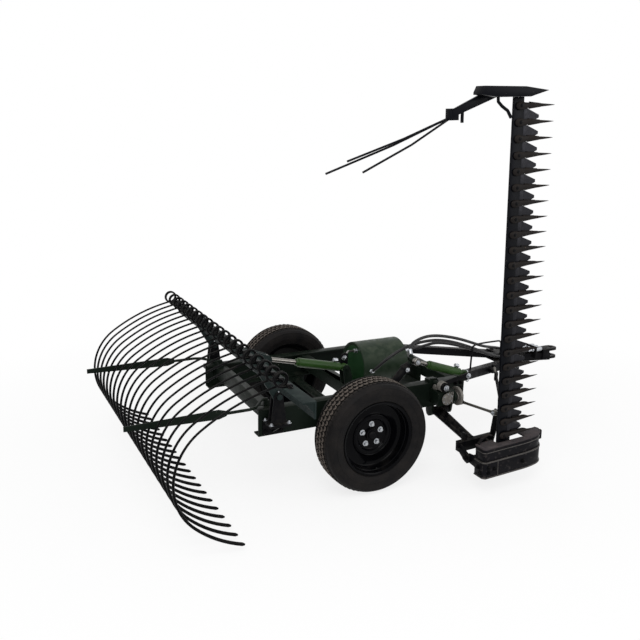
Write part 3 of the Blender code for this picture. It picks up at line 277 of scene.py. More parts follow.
def new_finish(name):
    # A new material, with its node tree, its shader and the piece's own coordinates.
    finish = bpy.data.materials.new(name)
    finish.use_nodes = True
    tree = finish.node_tree
    place = add_node(tree, "ShaderNodeTexCoord", {}).outputs["Object"]
    return finish, tree, tree.nodes["Principled BSDF"], place


def link_finish(tree, shader, tint, rough, relief):
    # Gives a shader its colour, its roughness and its relief.
    for socket, output in (("Base Color", tint), ("Roughness", rough), ("Normal", relief)):
        tree.links.new(output, shader.inputs[socket])


def hose_rubber():
    # Nitrile rubber cured in a cloth wrap: a dull sheen, the wrap's fine print, and dust in patches.
    finish, tree, shader, place = new_finish("black_hose_rubber")
    grain_mm, wrap_mm = 16.667, 1.4286
    grain = add_node(tree, "ShaderNodeTexNoise", {"Vector": place, "Scale": 1000 / grain_mm,
            "Detail": 6.0}).outputs[0]
    ramp = add_node(tree, "ShaderNodeMix", {0: grain, 6: colour("#0a0a0c"), 7: colour("#1c1b1c")}, data_type="RGBA")
    wrap = add_node(tree, "ShaderNodeTexNoise", {"Vector": place, "Scale": 1000 / wrap_mm, "Detail": 2.0}).outputs[0]
    bump = add_node(tree, "ShaderNodeBump", {"Height": wrap, "Strength": 0.25, "Distance": 0.0006})
    rough = add_node(tree, "ShaderNodeMapRange", {0: grain, 3: 0.38, 4: 0.62})
    link_finish(tree, shader, ramp.outputs[2], rough.outputs[0], bump.outputs[0])
    shader.inputs["Specular IOR Level"].default_value = 0.3
    return finish


def plated(name, code, dark, roughness, metallic=1.0, spot_mm=6.0, bump=0.0002):
    # Plated or bare metal: its brightness and its gloss drift in patches, over fine scratches.
    finish, tree, shader, place = new_finish(name)
    scratch_mm = 1.1111
    patch = add_node(tree, "ShaderNodeTexNoise", {"Vector": place, "Scale": 1000 / spot_mm, "Detail": 5.0}).outputs[0]
    tint = add_node(tree, "ShaderNodeMix", {0: patch, 6: colour(dark), 7: colour(code)}, data_type="RGBA")
    rough = add_node(tree, "ShaderNodeMapRange", {0: patch, 3: roughness + 0.12, 4: roughness - 0.08})
    scratch = add_node(tree, "ShaderNodeTexNoise", {"Vector": place, "Scale": 1000 / scratch_mm,
            "Detail": 3.0}).outputs[0]
    relief = add_node(tree, "ShaderNodeBump", {"Height": scratch, "Strength": 0.3, "Distance": bump})
    link_finish(tree, shader, tint.outputs[2], rough.outputs[0], relief.outputs[0])
    shader.inputs["Metallic"].default_value = metallic
    return finish


HOSE_FINISH = hose_rubber()
# Bright zinc plate: pale and clear, with a faint cloudiness and soft highlights.
ZINC = plated("bright_zinc_plate", "#c9ccd0", "#8f9296", 0.34)
SLEEVE_LENGTH = 0.032
SLEEVE_GAP = 0.0004
SLEEVE_SWELL = (0.92, 1.28, 1.28, 1.2, 1.28, 1.2, 1.28, 1.28, 0.95)

for hose_name, hose_route in HOSE_ROUTES.items():
    hose_points = smooth_line([at(*p) for p in hose_route], HOSE_STEP / 4)
    hose = tube_curve(hose_name + "_rubber", hose_points, HOSE_DIAMETER / 2)
    for end_name, end, inner in (("rear", 0, 2), ("front", -1, -3)):
        inward = (hose_points[inner] - hose_points[end]).normalized()
        steps = len(SLEEVE_SWELL) - 1
        line = [hose_points[end] + inward * (SLEEVE_GAP + SLEEVE_LENGTH * i / steps) for i in range(steps + 1)]
        sleeve = bent_bar(hose_name + "_sleeve_" + end_name, line, HOSE_DIAMETER / 2, 6, SLEEVE_SWELL)
        mount(sleeve, "chassis", ZINC, "zinc_steel")
    mount(hose, "chassis", HOSE_FINISH, "hose_rubber", hose_name)


# Tyres
# Two cross-ply road tyres with a zig-zag block tread and plain dusty sidewalls, on 15 inch rims.
# The casing is one turned ring; the tread blocks stand 8 mm above it, 64 to the round in five rows.
TYRE_RADIUS = 0.3066
WHEEL_Y = 0.56
AXLE_Z = 0.3062
TREAD_DEPTH = 0.008
TREAD_PITCHES = 64
BLOCK_WEAR = 0.0012
SHOULDER = 0.058
CROWN_DROP = 0.0004
CROWN_CURVE = 0.9
SHOULDER_CURVE = 6.0
DUST_FROM = 0.302
DUST_TO = 0.305
SMOOTH_STEPS = 96


def drawn_line(name, points):
    # A small plane is merged to one corner, which is then extruded from point to point. Stays in edit mode.
    deselect()
    bpy.ops.mesh.primitive_plane_add(size=0.01, location=(0.0, 0.0, 0.0))
    piece = bpy.context.object
    piece.name = name
    piece.data.name = name
    bpy.ops.object.mode_set(mode="EDIT")
    bpy.ops.mesh.merge(type="CENTER")
    bpy.ops.transform.translate(value=Vector(points[0]))
    for before, after in zip(points, points[1:]):
        step = Vector(after) - Vector(before)
        bpy.ops.mesh.extrude_region_move(TRANSFORM_OT_translate={"value": step})
    return piece


def facing(place, towards):
    # Takes what is drawn at the origin along Z to a place, with its Z turned to a direction.
    return Matrix.Translation(Vector(place)) @ Vector(towards).to_track_quat("Z", "Y").to_matrix().to_4x4()


def settle(piece, matrix):
    # Moves a piece by a matrix and applies that, so that its object stays at the origin.
    only(piece)
    piece.matrix_world = matrix
    bpy.ops.object.transform_apply(location=True, rotation=True, scale=True)
    return piece


def around(radius, degrees):
    # The two coordinates of a point on a circle.
    return radius * math.cos(math.radians(degrees)), radius * math.sin(math.radians(degrees))


def turned(name, profile, base, towards, steps=SMOOTH_STEPS, angle=32):
    # A closed outline of (radius, height) points spun once round an axis, then set on that axis.
    points = [(radius, 0.0, height) for radius, height in profile]
    piece = drawn_line(name, points + points[:1])
    bpy.ops.mesh.select_all(action="SELECT")
    bpy.ops.mesh.spin(steps=steps, angle=2 * math.pi, center=(0, 0, 0), axis=(0, 0, 1))
    merge_all()
    bpy.ops.mesh.normals_make_consistent(inside=False)
    bpy.ops.object.mode_set(mode="OBJECT")
    settle(piece, facing(base, towards))
    bpy.ops.object.shade_smooth_by_angle(angle=math.radians(angle))
    return piece


def joined(name, pieces):
    # Several meshes as one piece, each keeping its own closed skin.
    only(pieces[0])
    for piece in pieces[1:]:
        piece.select_set(True)
    bpy.ops.object.join()
    pieces[0].name = name
    pieces[0].data.name = name
    return pieces[0]


def tyre_rubber(word, centre):
    # Carbon black rubber: near black in the grooves and on the wall, with pale road dust on the block tops.
    finish, tree, shader, place = new_finish("dusty_tyre_rubber_" + word)
    cloud_mm, grit_mm = 111.11, 3.8462
    about = add_node(tree, "ShaderNodeMapping", {"Vector": place, "Location": tuple(-c for c in centre)}).outputs[0]
    flat = add_node(tree, "ShaderNodeVectorMath", {0: about, 1: (1.0, 0.0, 1.0)}, operation="MULTIPLY").outputs[0]
    radius = add_node(tree, "ShaderNodeVectorMath", {0: flat}, operation="LENGTH").outputs["Value"]
    tops = add_node(tree, "ShaderNodeMapRange", {0: radius, 1: DUST_FROM, 2: DUST_TO, 3: 0.0, 4: 0.95}).outputs[0]
    cloud = add_node(tree, "ShaderNodeTexNoise", {"Vector": place, "Scale": 1000 / cloud_mm, "Detail": 8.0,
            "Roughness": 0.65})
    fine = add_node(tree, "ShaderNodeTexNoise", {"Vector": place, "Scale": 1000 / grit_mm, "Detail": 4.0})
    film = add_node(tree, "ShaderNodeMapRange", {0: cloud.outputs[0], 1: 0.4, 2: 0.8, 3: 0.0, 4: 0.14})
    lying = add_node(tree, "ShaderNodeMath", {0: tops, 1: film.outputs[0]}, operation="MAXIMUM").outputs[0]
    speck = add_node(tree, "ShaderNodeMath", {0: lying, 1: fine.outputs[0]}, operation="MULTIPLY")
    tint = add_node(tree, "ShaderNodeMix", {0: speck.outputs[0], 6: colour("#070607"), 7: colour("#786e66")},
                    data_type="RGBA")
    rough = add_node(tree, "ShaderNodeMapRange", {0: cloud.outputs[0], 3: 0.5, 4: 0.85})
    relief = add_node(tree, "ShaderNodeBump", {"Height": fine.outputs[0], "Strength": 0.35, "Distance": 0.0008})
    link_finish(tree, shader, tint.outputs[2], rough.outputs[0], relief.outputs[0])
    shader.inputs["Specular IOR Level"].default_value = 0.14
    return finish


CASING_RADIUS = TYRE_RADIUS - TREAD_DEPTH
CASING_HALF = mm((192.5, 71.5), (198.5, 72.8), (204, 72.8), (206.5, 76), (208.5, 79), (211, 79), (213, 80),
                 (222, 85.2), (233, 89), (244, 90.5), (245, 92), (249, 92.2), (250, 91), (260, 91.2), (272, 90),
                 (278, 88.6), (280, 89.6), (282, 89.3), (283.5, 86.5), (290, 82.5),
                 (295, 74))
CASING_HALF += [(CASING_RADIUS - 0.0015, 0.055), (CASING_RADIUS, 0.025), (CASING_RADIUS, 0.0)]


def tread_top(across):
    # The radius of the tread's crown, which drops by a few millimetres towards the shoulders.
    beyond = max(0.0, abs(across) - SHOULDER)
    return TYRE_RADIUS - CROWN_DROP - CROWN_CURVE * across ** 2 - SHOULDER_CURVE * beyond ** 1.5


def tread_row(name, inner, outer, swing, shift):
    # One row of blocks, as one block with zig-zag sides, set up on the crown and spun round as copies.
    pitch = 2 * math.pi / TREAD_PITCHES
    cells = ((0.08, 0.0), (0.28, 0.5), (0.5, 1.0), (0.72, 0.5), (0.92, 0.0))
    outline = [(share, inner + swing * lift) for share, lift in cells]
    outline += [(share, outer + swing * lift) for share, lift in reversed(cells)]
    points = []
    for share, across in outline:
        turn = (share + shift) * pitch
        radius = tread_top(across)
        points.append((radius * math.cos(turn), radius * math.sin(turn), across))
    row = drawn_line(name, points)
    bpy.ops.mesh.select_all(action="SELECT")
    bpy.ops.mesh.edge_face_add()
    middle = (0.5 + shift) * pitch
    down = Vector((math.cos(middle), math.sin(middle), 0.0)) * -(TREAD_DEPTH + 0.004)
    bpy.ops.mesh.extrude_region_move(TRANSFORM_OT_translate={"value": down})
    bpy.ops.mesh.select_all(action="SELECT")
    bpy.ops.mesh.normals_make_consistent(inside=False)
    bpy.ops.mesh.spin(steps=TREAD_PITCHES, angle=2 * math.pi, dupli=True, center=(0, 0, 0), axis=(0, 0, 1))
    merge_all()
    bpy.ops.object.mode_set(mode="OBJECT")
    return row


TREAD_ROWS = ((-0.012, 0.003, 0.009, 0.0), (0.018, 0.032, 0.009, 0.5), (-0.041, -0.027, 0.009, 0.5),
              (0.047, 0.079, 0.006, 0.2), (-0.085, -0.056, 0.006, 0.7))


def bevelled(piece, width, angle, segments):
    # Rounds the edges of a piece that are sharper than an angle in degrees.
    edge = piece.modifiers.new("rounded", "BEVEL")
    edge.width = width
    edge.segments = segments
    edge.limit_method = "ANGLE"
    edge.angle_limit = math.radians(angle)
    bpy.ops.object.modifier_apply(modifier=edge.name)


def make_tyre(side, word):
    # One wheel's tyre: its casing with the five rows of tread.
    centre = at(0.0, side * WHEEL_Y, AXLE_Z)
    outward = (0.0, side, 0.0)
    half = CASING_HALF + [(radius, -height) for radius, height in reversed(CASING_HALF[:-1])]
    casing = turned("tyre_casing_" + word, half, centre, outward)
    rows = [tread_row("tread", low, high, swing, shift) for low, high, swing, shift in TREAD_ROWS]
    tread = joined("tyre_tread_" + word, rows)
    bevelled(settle(tread, facing(centre, outward)), BLOCK_WEAR, 50, 2)
    tyre = joined("tyre_rubber_" + word, [casing, tread])
    mount(tyre, word + "_wheel", tyre_rubber(word, centre), "tyre_rubber", "tyre_" + word)


make_tyre(-1, "right")
make_tyre(1, "left")


# Rims and hubs
# Pressed steel disc wheels with a deep outer dish, sprayed gloss black, each held by five plated nuts.
# The hub is a casting with a drawn cap; the nuts have a cone seat, a washer face and a bare stud end.
STUD_CIRCLE = 0.0572
STUD_COUNT = 5
DISC_FACE = 0.0013
SHADE_ANGLE = math.radians(35)


def sprayed(name, code, second, roughness, dust=0.25, dust_code="#5f5a53", chip=0.0, chip_code="#55544f", gloss=0.05):
    # Sprayed paint on steel: a tone that drifts, orange peel, dust on what faces up, and small chips.
    finish, tree, shader, place = new_finish(name)
    drift_mm, cloud_mm, flake_mm, peel_mm = 142.86, 35.714, 18.182, 3.125
    drift = add_node(tree, "ShaderNodeTexNoise", {"Vector": place, "Scale": 1000 / drift_mm,
            "Detail": 6.0}).outputs[0]
    tint = add_node(tree, "ShaderNodeMix", {0: drift, 6: colour(code), 7: colour(second)}, data_type="RGBA")
    normal = add_node(tree, "ShaderNodeNewGeometry", {}).outputs["Normal"]
    up = add_node(tree, "ShaderNodeSeparateXYZ", {0: normal}).outputs[2]
    cloud = add_node(tree, "ShaderNodeTexNoise", {"Vector": place, "Scale": 1000 / cloud_mm,
            "Detail": 8.0}).outputs[0]
    lying = add_node(tree, "ShaderNodeMapRange", {0: up, 1: 0.1, 2: 1.0, 3: 0.08, 4: 1.0}).outputs[0]
    grime = add_node(tree, "ShaderNodeMapRange", {0: cloud, 1: 0.42, 2: 0.78, 3: 0.0, 4: dust}).outputs[0]
    layer = add_node(tree, "ShaderNodeMath", {0: lying, 1: grime}, operation="MULTIPLY").outputs[0]
    dusty = add_node(tree, "ShaderNodeMix", {0: layer, 6: tint.outputs[2], 7: colour(dust_code)}, data_type="RGBA")
    skin = dusty.outputs[2]
    if chip:
        flakes = add_node(tree, "ShaderNodeTexNoise", {"Vector": place, "Scale": 1000 / flake_mm,
                "Detail": 9.0}).outputs[0]
        bare = add_node(tree, "ShaderNodeMapRange", {0: flakes, 1: 0.74 - chip, 2: 0.76 - chip}).outputs[0]
        skin = add_node(tree, "ShaderNodeMix", {0: bare, 6: skin, 7: colour(chip_code)}, data_type="RGBA").outputs[2]
    film = add_node(tree, "ShaderNodeMath", {0: grime, 1: 0.9}, operation="MULTIPLY").outputs[0]
    worn = add_node(tree, "ShaderNodeMath", {0: drift, 1: 0.12}, operation="MULTIPLY").outputs[0]
    dull = add_node(tree, "ShaderNodeMath", {0: film, 1: worn}, operation="ADD").outputs[0]
    rough = add_node(tree, "ShaderNodeMath", {0: dull, 1: roughness}, operation="ADD", use_clamp=True).outputs[0]
    peel = add_node(tree, "ShaderNodeTexNoise", {"Vector": place, "Scale": 1000 / peel_mm, "Detail": 2.0}).outputs[0]
    relief = add_node(tree, "ShaderNodeBump", {"Height": peel, "Strength": 0.18, "Distance": 0.0004})
    link_finish(tree, shader, skin, rough, relief.outputs[0])
    shader.inputs["Specular IOR Level"].default_value = gloss
    return finish


# Gloss enamel on pressed steel: almost pure black, with sharp highlights in the dish.
RIM_FINISH = sprayed("gloss_black_rim_enamel", "#030304", "#060609", 0.06, 0.05)
# Enamel brushed on a casting: black, and a little duller and dustier than the rim.
HUB_FINISH = sprayed("black_hub_enamel", "#060607", "#0d0d10", 0.3, 0.2)
RIM_FRONT = mm((203, 77.5), (202.4, 79), (200, 78.8), (194, 77.6), (189, 73.5), (186.8, 66), (185.8, 56),
               (184.6, 52), (181.2, 50), (179.8, 46), (179, 26), (177.6, 15), (174, 10), (168, 7), (150, 6),
               (122, 10), (116, 13.5), (113.5, 17.8), (111, 19), (108.5, 17.8), (106, 15), (100, 16.8), (95, 16.8),
               (90, 16), (86, 11), (83, 5), (78, 1.8))
RIM_BACK = mm((34.5, -4.7), (76, -4.7), (90, 6), (103, 9), (118, 4), (174, -8), (179, -20), (184, -60),
              (187, -74.5), (196, -78), (202.4, -79), (203, -77.5), (202.8, -73.8), (198.5, -73.3), (195, -73),
              (191.8, -72), (191.6, 72), (195, 73), (198.5, 73.3), (202.8, 73.8))
RIM_PROFILE = RIM_FRONT + [(0.074, DISC_FACE), (0.0345, DISC_FACE)] + RIM_BACK


def round_bar(name, start, end, radius, sides=32, bevel=0.0):
    # A cylinder between two points, with its rims turned off by a small bevel.
    start, end = Vector(start), Vector(end)
    along = end - start
    deselect()
    bpy.ops.mesh.primitive_cylinder_add(vertices=sides, radius=radius, depth=along.length, location=(start + end) / 2,
            rotation=along.to_track_quat("Z", "Y").to_euler())
    piece = bpy.context.object
    piece.name = name
    piece.data.name = name
    bpy.ops.object.transform_apply(location=True, rotation=True, scale=True)
    if bevel:
        bevelled(piece, bevel, 50, 2)
    bpy.ops.object.shade_smooth_by_angle(angle=SHADE_ANGLE)
    return piece


def hex_bolt(place, outward, width=0.016, height=0.008, washer=True, stud=0.004):
    # A hexagon head or nut, width across its corners, on a washer, with the thread's end standing out.
    place, outward = Vector(place), Vector(outward).normalized()
    parts = []
    base = 0.0
    if washer:
        parts.append(round_bar("washer", place, place + outward * 0.0018, width * 0.72, 20, 0.0004))
        base = 0.0017
    parts.append(round_bar("head", place + outward * base, place + outward * (base + height), width / 2, 6, 0.0009))
    if stud:
        top = place + outward * (base + height - 0.0002)
        parts.append(round_bar("thread", top, top + outward * stud, width * 0.27, 12, 0.0006))
    return parts


def make_rim(side, word):
    # One wheel's rim with its valve stem, its hub, and the five nuts that hold it.
    centre = at(0.0, side * WHEEL_Y, AXLE_Z)
    outward = Vector((0.0, side, 0.0))
    rim = turned("rim_steel_" + word, RIM_PROFILE, centre, outward)
    stem = round_bar("stem", centre + Vector((0.0, side * 0.044, -0.18)), centre + Vector((0.0, side * 0.07, -0.166)),
                     0.004, 12)
    mount(joined("rim_steel_" + word, [rim, stem]), word + "_wheel", RIM_FINISH, "rim_black", "rim_" + word)
    barrel = mm((0, 34), (12, 34), (20, 31), (25.5, 24), (26.2, 15), (33, 14), (33.8, -4), (74, -5.2), (74, -15),
                (42, -18), (38, -40), (33, -48), (33, -123), (26, -129), (16.5, -129), (16.5, 5), (0, 6))
    hub = turned("hub_casting_" + word, barrel, centre, outward, 64)
    mount(hub, word + "_wheel", HUB_FINISH, "zinc_steel", "hub_" + word)
    nuts = []
    for i in range(STUD_COUNT):
        x, z = around(STUD_CIRCLE, 90 + i * 360 / STUD_COUNT)
        spot = centre + Vector((x, side * (DISC_FACE + 0.0003), z))
        nuts += hex_bolt(spot, outward, 0.0215, 0.0135, True, 0.002)
    mount(joined("wheel_nuts_" + word, nuts), word + "_wheel", ZINC, "zinc_steel")


make_rim(-1, "right")
make_rim(1, "left")


# Frame
# Two side rails of folded channel, three crossmembers, the axle tube and the tank's tray, painted dark green.
# They are welded and bolted together; each keeps its node's shape, with edges as round as rolled steel's.

# Shop paint on rolled steel: so dark a green that it reads as black away from the light.
FRAME_GREEN = sprayed("dark_green_frame_paint", "#0d130f", "#141c16", 0.3, 0.12, chip=0.02)
# Satin paint on welded steel: an even black, greyed by dust on what faces up.
SATIN_BLACK = sprayed("satin_black_paint", "#070709", "#0d0d10", 0.32, 0.32, chip=0.02)
RAIL_FACE = 0.42
CROSSMEMBER_BOLTS = mm((32, 418), (32, 452), (68, 418), (68, 452), (642, 452), (678, 418), (678, 452))
BOLT_WIDTH = 0.02
ROLLED_EDGE = 0.0018
SHEARED_EDGE = 0.0015
PLATE_EDGE = 0.0012
POST_FACE = 0.4303
RIPPLE_STEP = 0.0035
STRAIGHT_RIPPLES = 24


def rounded(piece, width, angle=40, segments=2):
    # Rounds the sharp edges of a piece, and shades what is left smooth.
    bevelled(only(piece), width, angle, segments)
    bpy.ops.object.shade_smooth_by_angle(angle=SHADE_ANGLE)
    return piece


def softened(name, node, width, angle=30, segments=2):
    # A copy of a node, merged to one skin and joined into flat faces, with its edges rounded.
    only(frame["nodes"][node])
    bpy.ops.object.duplicate()
    piece = bpy.context.object
    piece.name = name
    piece.data.name = name
    piece.parent = None
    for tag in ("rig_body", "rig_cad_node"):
        del piece[tag]
    bpy.ops.object.mode_set(mode="EDIT")
    merge_all()
    bpy.ops.mesh.dissolve_limited(angle_limit=math.radians(0.6))
    bpy.ops.object.mode_set(mode="OBJECT")
    return rounded(piece, width, angle, segments)


def dress(name, node, width, body, finish, slot, angle=30, segments=2):
    # Shows a node by a softened copy of itself.
    mount(softened(name, node, width, angle, segments), body, finish, slot, node)


def flat_piece(name, outline, thickness, edge=PLATE_EDGE, segments=2):
    # A piece cut from plate: a flat outline, drawn point by point, filled, extruded and broken at its edges.
    piece = drawn_line(name, outline)
    bpy.ops.mesh.select_all(action="SELECT")
    bpy.ops.mesh.edge_face_add()
    bpy.ops.mesh.extrude_region_move(TRANSFORM_OT_translate={"value": Vector(thickness)})
    bpy.ops.mesh.select_all(action="SELECT")
    bpy.ops.mesh.normals_make_consistent(inside=False)
    bpy.ops.object.mode_set(mode="OBJECT")
    return rounded(piece, edge, segments=segments)


def repeated(name, pattern, matrices):
    # Copies of one piece, each with its own mesh and moved by its own matrix, as one piece.
    copies = []
    for matrix in matrices:
        only(pattern)
        bpy.ops.object.duplicate()
        copies.append(bpy.context.object)
        copies[-1].matrix_world = matrix
    bpy.data.objects.remove(pattern)
    only(copies[0])
    for copy in copies:
        copy.select_set(True)
    bpy.ops.object.transform_apply(location=True, rotation=True, scale=True)
    return joined(name, copies)


def bolts(name, places, width=BOLT_WIDTH, height=0.0085, washer=True, stud=0.004):
    # One bolt head or nut, copied to each place.
    pattern = joined("bolt", hex_bolt((0, 0, 0), (0, 0, 1), width, height, washer, stud))
    return repeated(name, pattern, [facing(place, towards) for place, towards in places])


def weld_bead(name, points, radius=0.0032):
    # A run of weld: overlapping ripples along a joint.
    if len(points) > 2:
        line = smooth_line(points, RIPPLE_STEP)
    else:
        line = [Vector(points[0]).lerp(Vector(points[1]), i / STRAIGHT_RIPPLES) for i in range(STRAIGHT_RIPPLES + 1)]
    return bent_bar(name, line, radius, 2, [1.0 if i % 2 else 0.8 for i in range(len(line))])


def weld_runs(name, runs):
    # A straight weld between each pair of points, which are given from the middle of the axle.
    return joined(name, [weld_bead("weld", [at(*point) for point in run]) for run in runs])


for frame_node in ("side_rail_right", "side_rail_left", "front_crossmember", "middle_crossmember", "rear_crossmember",
                   "axle_tube", "tank_tray"):
    dress(frame_node + "_steel", frame_node, ROLLED_EDGE, "chassis", FRAME_GREEN, "frame_green")
frame_bolts = []
for side in (-1, 1):
    out = (0.0, side, 0.0)
    frame_bolts += [(at(x, side * RAIL_FACE, z), out) for x, z in CROSSMEMBER_BOLTS]
    frame_bolts += [(at(x, side * POST_FACE, z), out) for x in (-0.546, -0.462) for z in (0.362, 0.406)]
    frame_bolts += [(at(x, side * 0.391, AXLE_Z - 0.012), (0.0, 0.0, -1.0)) for x in (-0.042, 0.042)]
mount(bolts("frame_bolts", frame_bolts), "chassis", HUB_FINISH, "black_paint")
welds = []
for side in (-1, 1):
    foot_y = side * 0.345
    welds += [((x, side * 0.367, 0.3355), (x, side * 0.415, 0.3355)) for x in (-0.0555, 0.0555)]
    welds += [((-0.5242, foot_y - 0.012, 0.469), (-0.5242, foot_y + 0.012, 0.469)),
              ((-0.56, side * 0.431, 0.418), (-0.448, side * 0.431, 0.418)),
              ((-0.508, side * 0.431, 0.356), (-0.508, side * 0.524, 0.418))]
welds += [((x, y, 0.4685), (x + 0.01, y + 0.01, 0.4685)) for x in (0.022, 0.078) for y in (-0.228, -0.182)]
mount(weld_runs("frame_welds", welds), "chassis", FRAME_GREEN, "frame_green")
# The strut that holds the lift cylinder's end is a thick tube with a clamp below its head.
strut_low, strut_high = at(0.206, -0.3954, 0.478), at(0.306, -0.4135, 0.6)
strut_way = (strut_high - strut_low).normalized()
strut = [round_bar("strut", strut_low, strut_high, 0.0225, 40, 0.002),
         round_bar("clamp", strut_high - strut_way * 0.03, strut_high - strut_way * 0.012, 0.0285, 40, 0.002),
         round_bar("collar", strut_high - strut_way * 0.004, strut_high + strut_way * 0.014, 0.018, 24, 0.002)]
mount(joined("lift_strut_tube", strut), "chassis", SATIN_BLACK, "black_paint")
clamp_place = strut_high - strut_way * 0.021 + Vector((0.0, -0.0285, 0.0))
mount(bolts("lift_strut_bolts", [(clamp_place, (0, -1, 0)), (at(0.34, -0.4665, 0.628), (0, -1, 0))], 0.018),
      "chassis", ZINC, "zinc_steel")


# Drawbar, hitch and parking stand
# Two welded box beams meet in an A at the tongue, whose clevis takes the tractor's pin, all painted black.
# The stand's leg slides in a sleeve, and a bent rod holds the hoses up to their three plated couplers.
DRAWBAR_SLOPE = -0.08
BEAM_RISE = 0.0335
COUPLER_RISE = 0.058
COUPLER_X = 1.5597


def drawbar_top(x):
    # The height of the drawbar's middle line, which falls towards the hitch.
    return 0.445 + DRAWBAR_SLOPE * (x - 0.7)


for bar_node in ("drawbar_left_beam", "drawbar_right_beam", "hitch_tongue"):
    dress(bar_node + "_steel", bar_node, ROLLED_EDGE, "chassis", SATIN_BLACK, "black_paint")
dress("stand_leg_steel", "stand_leg", SHEARED_EDGE, "stand", SATIN_BLACK, "black_paint")
drawbar_bolts = []
for side in (-1, 1):
    drawbar_bolts += [(at(0.6985, side * 0.286, z), (1, 0, 0)) for z in (0.409, 0.462)]
    drawbar_bolts += [(at(x, side * y, drawbar_top(x) + BEAM_RISE), (0, 0, 1))
                      for x, y in ((1.325, 0.096), (1.4, 0.07))]
drawbar_bolts += [(at(x, 0.0, drawbar_top(x) + BEAM_RISE), (0, 0, 1)) for x in (1.375, 1.485)]
mount(bolts("drawbar_bolts", drawbar_bolts), "chassis", HUB_FINISH, "black_paint")
beam_welds = [((0.6995, side * 0.304, z), (0.6995, side * 0.356, z)) for side in (-1, 1) for z in (0.42, 0.47)]
beam_welds += [((1.664, -0.0385, z), (1.664, 0.0385, z)) for z in (0.35, 0.4185)]
mount(weld_runs("drawbar_welds", beam_welds), "chassis", SATIN_BLACK, "black_paint")
COUPLER_PROFILE = mm((0, 0), (13.2, 0), (14.5, 2), (14.5, 20), (13.5, 22), (13.5, 28), (16.5, 30), (16.5, 52),
                     (15, 54), (15, 70), (14, 78), (11.8, 81.2), (0, 81.2))
couplers = [turned("coupler", COUPLER_PROFILE, at(COUPLER_X, y, drawbar_top(1.58) + COUPLER_RISE), (1, 0, 0), 32)
            for y in (-0.036, 0.0, 0.036)]
mount(joined("hose_couplers", couplers), "chassis", ZINC, "zinc_steel")
guide_route = [at(0.86, -0.27, 0.456), at(0.868, -0.266, 0.56), at(0.9, -0.25, 0.602), at(1.16, -0.135, 0.566),
               at(1.215, -0.11, 0.55), at(1.24, -0.09, 0.52), at(1.245, -0.085, 0.423)]
guide = bent_bar("hose_guide_rod", smooth_line(guide_route, 0.012), 0.0055, 4)
mount(guide, "chassis", SATIN_BLACK, "black_paint")
hook_route = [at(0.8 + dx, -0.322 + dy, z)
              for dx, dy, z in mm((0, 30, 464), (0, 16, 476), (0, 0, 470), (0, -8, 450), (4, -4, 428),
                                  (12, 2, 412), (12, 12, 402), (6, 18, 406))]
mount(bent_bar("drawbar_s_hook", smooth_line(hook_route, 0.003), 0.0035, 3), "chassis", ZINC, "zinc_steel")
stand_pin = [round_bar("pin", at(1.3, -0.2, 0.397), at(1.3, -0.128, 0.397), 0.005, 16, 0.0008)]
ring = [around(0.014, 15 * i) for i in range(24)]
stand_pin.append(bent_bar("ring", [at(1.3 + x, -0.197, 0.385 + z) for x, z in ring], 0.0014, 2))
mount(joined("stand_lock_pin", stand_pin), "chassis", ZINC, "zinc_steel")


# Oil tank
# A rolled steel drum with recessed ends that holds the hydraulic oil, sprayed green over black.
# A steel pipe with plated unions runs from its rear to the rake cylinder.
TANK_RADIUS = 0.135
TANK_LENGTH = 0.3
TANK_Z = 0.495
# Green enamel misted over black: a mottled dark green with a soft shine, and pale dust on what faces up, laid thick
# enough to be a painted highlight along the tank's top as well.
TANK_GREEN = sprayed("green_black_tank_enamel", "#1a251a", "#263426", 0.26, 0.65, dust_code="#565b50", chip=0.01,
                     gloss=0.15)
# The same enamel on the tank's ends, drawn as a second copy in a cleaner, stronger green than the shell.
TANK_END_GREEN = sprayed("greener_tank_end_enamel", "#16301a", "#1f3d22", 0.3, 0.15, gloss=0.15)
end_half = mm((0, 8.5), (114, 8.5), (121.5, 7.5), (126.2, 4), (129, 1), (131.8, 0), (134.2, 0.8))
end_half += [(TANK_RADIUS, 0.003), (TANK_RADIUS, 0.006), (0.1342, 0.0072), (TANK_RADIUS, 0.0084)]
tank_profile = end_half + [(radius, TANK_LENGTH - height) for radius, height in reversed(end_half)]
tank_rear = at(0.2, 0.0, TANK_Z)
tank = [turned("tank", tank_profile, tank_rear, (1, 0, 0), 96)]
tank.append(weld_bead("seam", [tank_rear + Vector((x, 0.0, -TANK_RADIUS)) for x in (0.01, 0.29)], 0.002))
tank.append(round_bar("neck", at(0.49, 0.06, 0.56), at(0.517, 0.06, 0.56), 0.0215, 40, 0.0015))
mount(joined("oil_tank_shell", tank), "chassis", TANK_GREEN, "tank_green", "oil_tank")
end_disc = mm((0, -0.6), (112, -0.6), (119, 0.6), (119, 3), (0, 3))
end_plates = [turned("plate", end_disc, tank_rear + Vector((x, 0.0, 0.0)), (way, 0, 0), 96)
              for x, way in ((0.0085, 1), (TANK_LENGTH - 0.0085, -1))]
mount(joined("tank_end_plates", end_plates), "chassis", TANK_END_GREEN, "tank_green")
cap_profile = mm((0, 0), (26.5, 0), (28, 1.5), (28, 18), (26.2, 20.5), (18, 22), (0, 22.5))
mount(turned("tank_filler_cap", cap_profile, at(0.514, 0.06, 0.56), (1, 0, 0), 48), "chassis", SATIN_BLACK,
      "black_paint")
UNION_PROFILE = mm((0, 0), (12, 0), (12.8, 1), (12.8, 8), (10.5, 8.5), (10.5, 15), (11.8, 16), (11.8, 23), (9.5, 24),
                   (0, 24))


def union(place, towards, sides=6):
    # A plated pipe union: a hexagon body with a sleeve nut.
    return turned("union", UNION_PROFILE, place, towards, sides, 25)


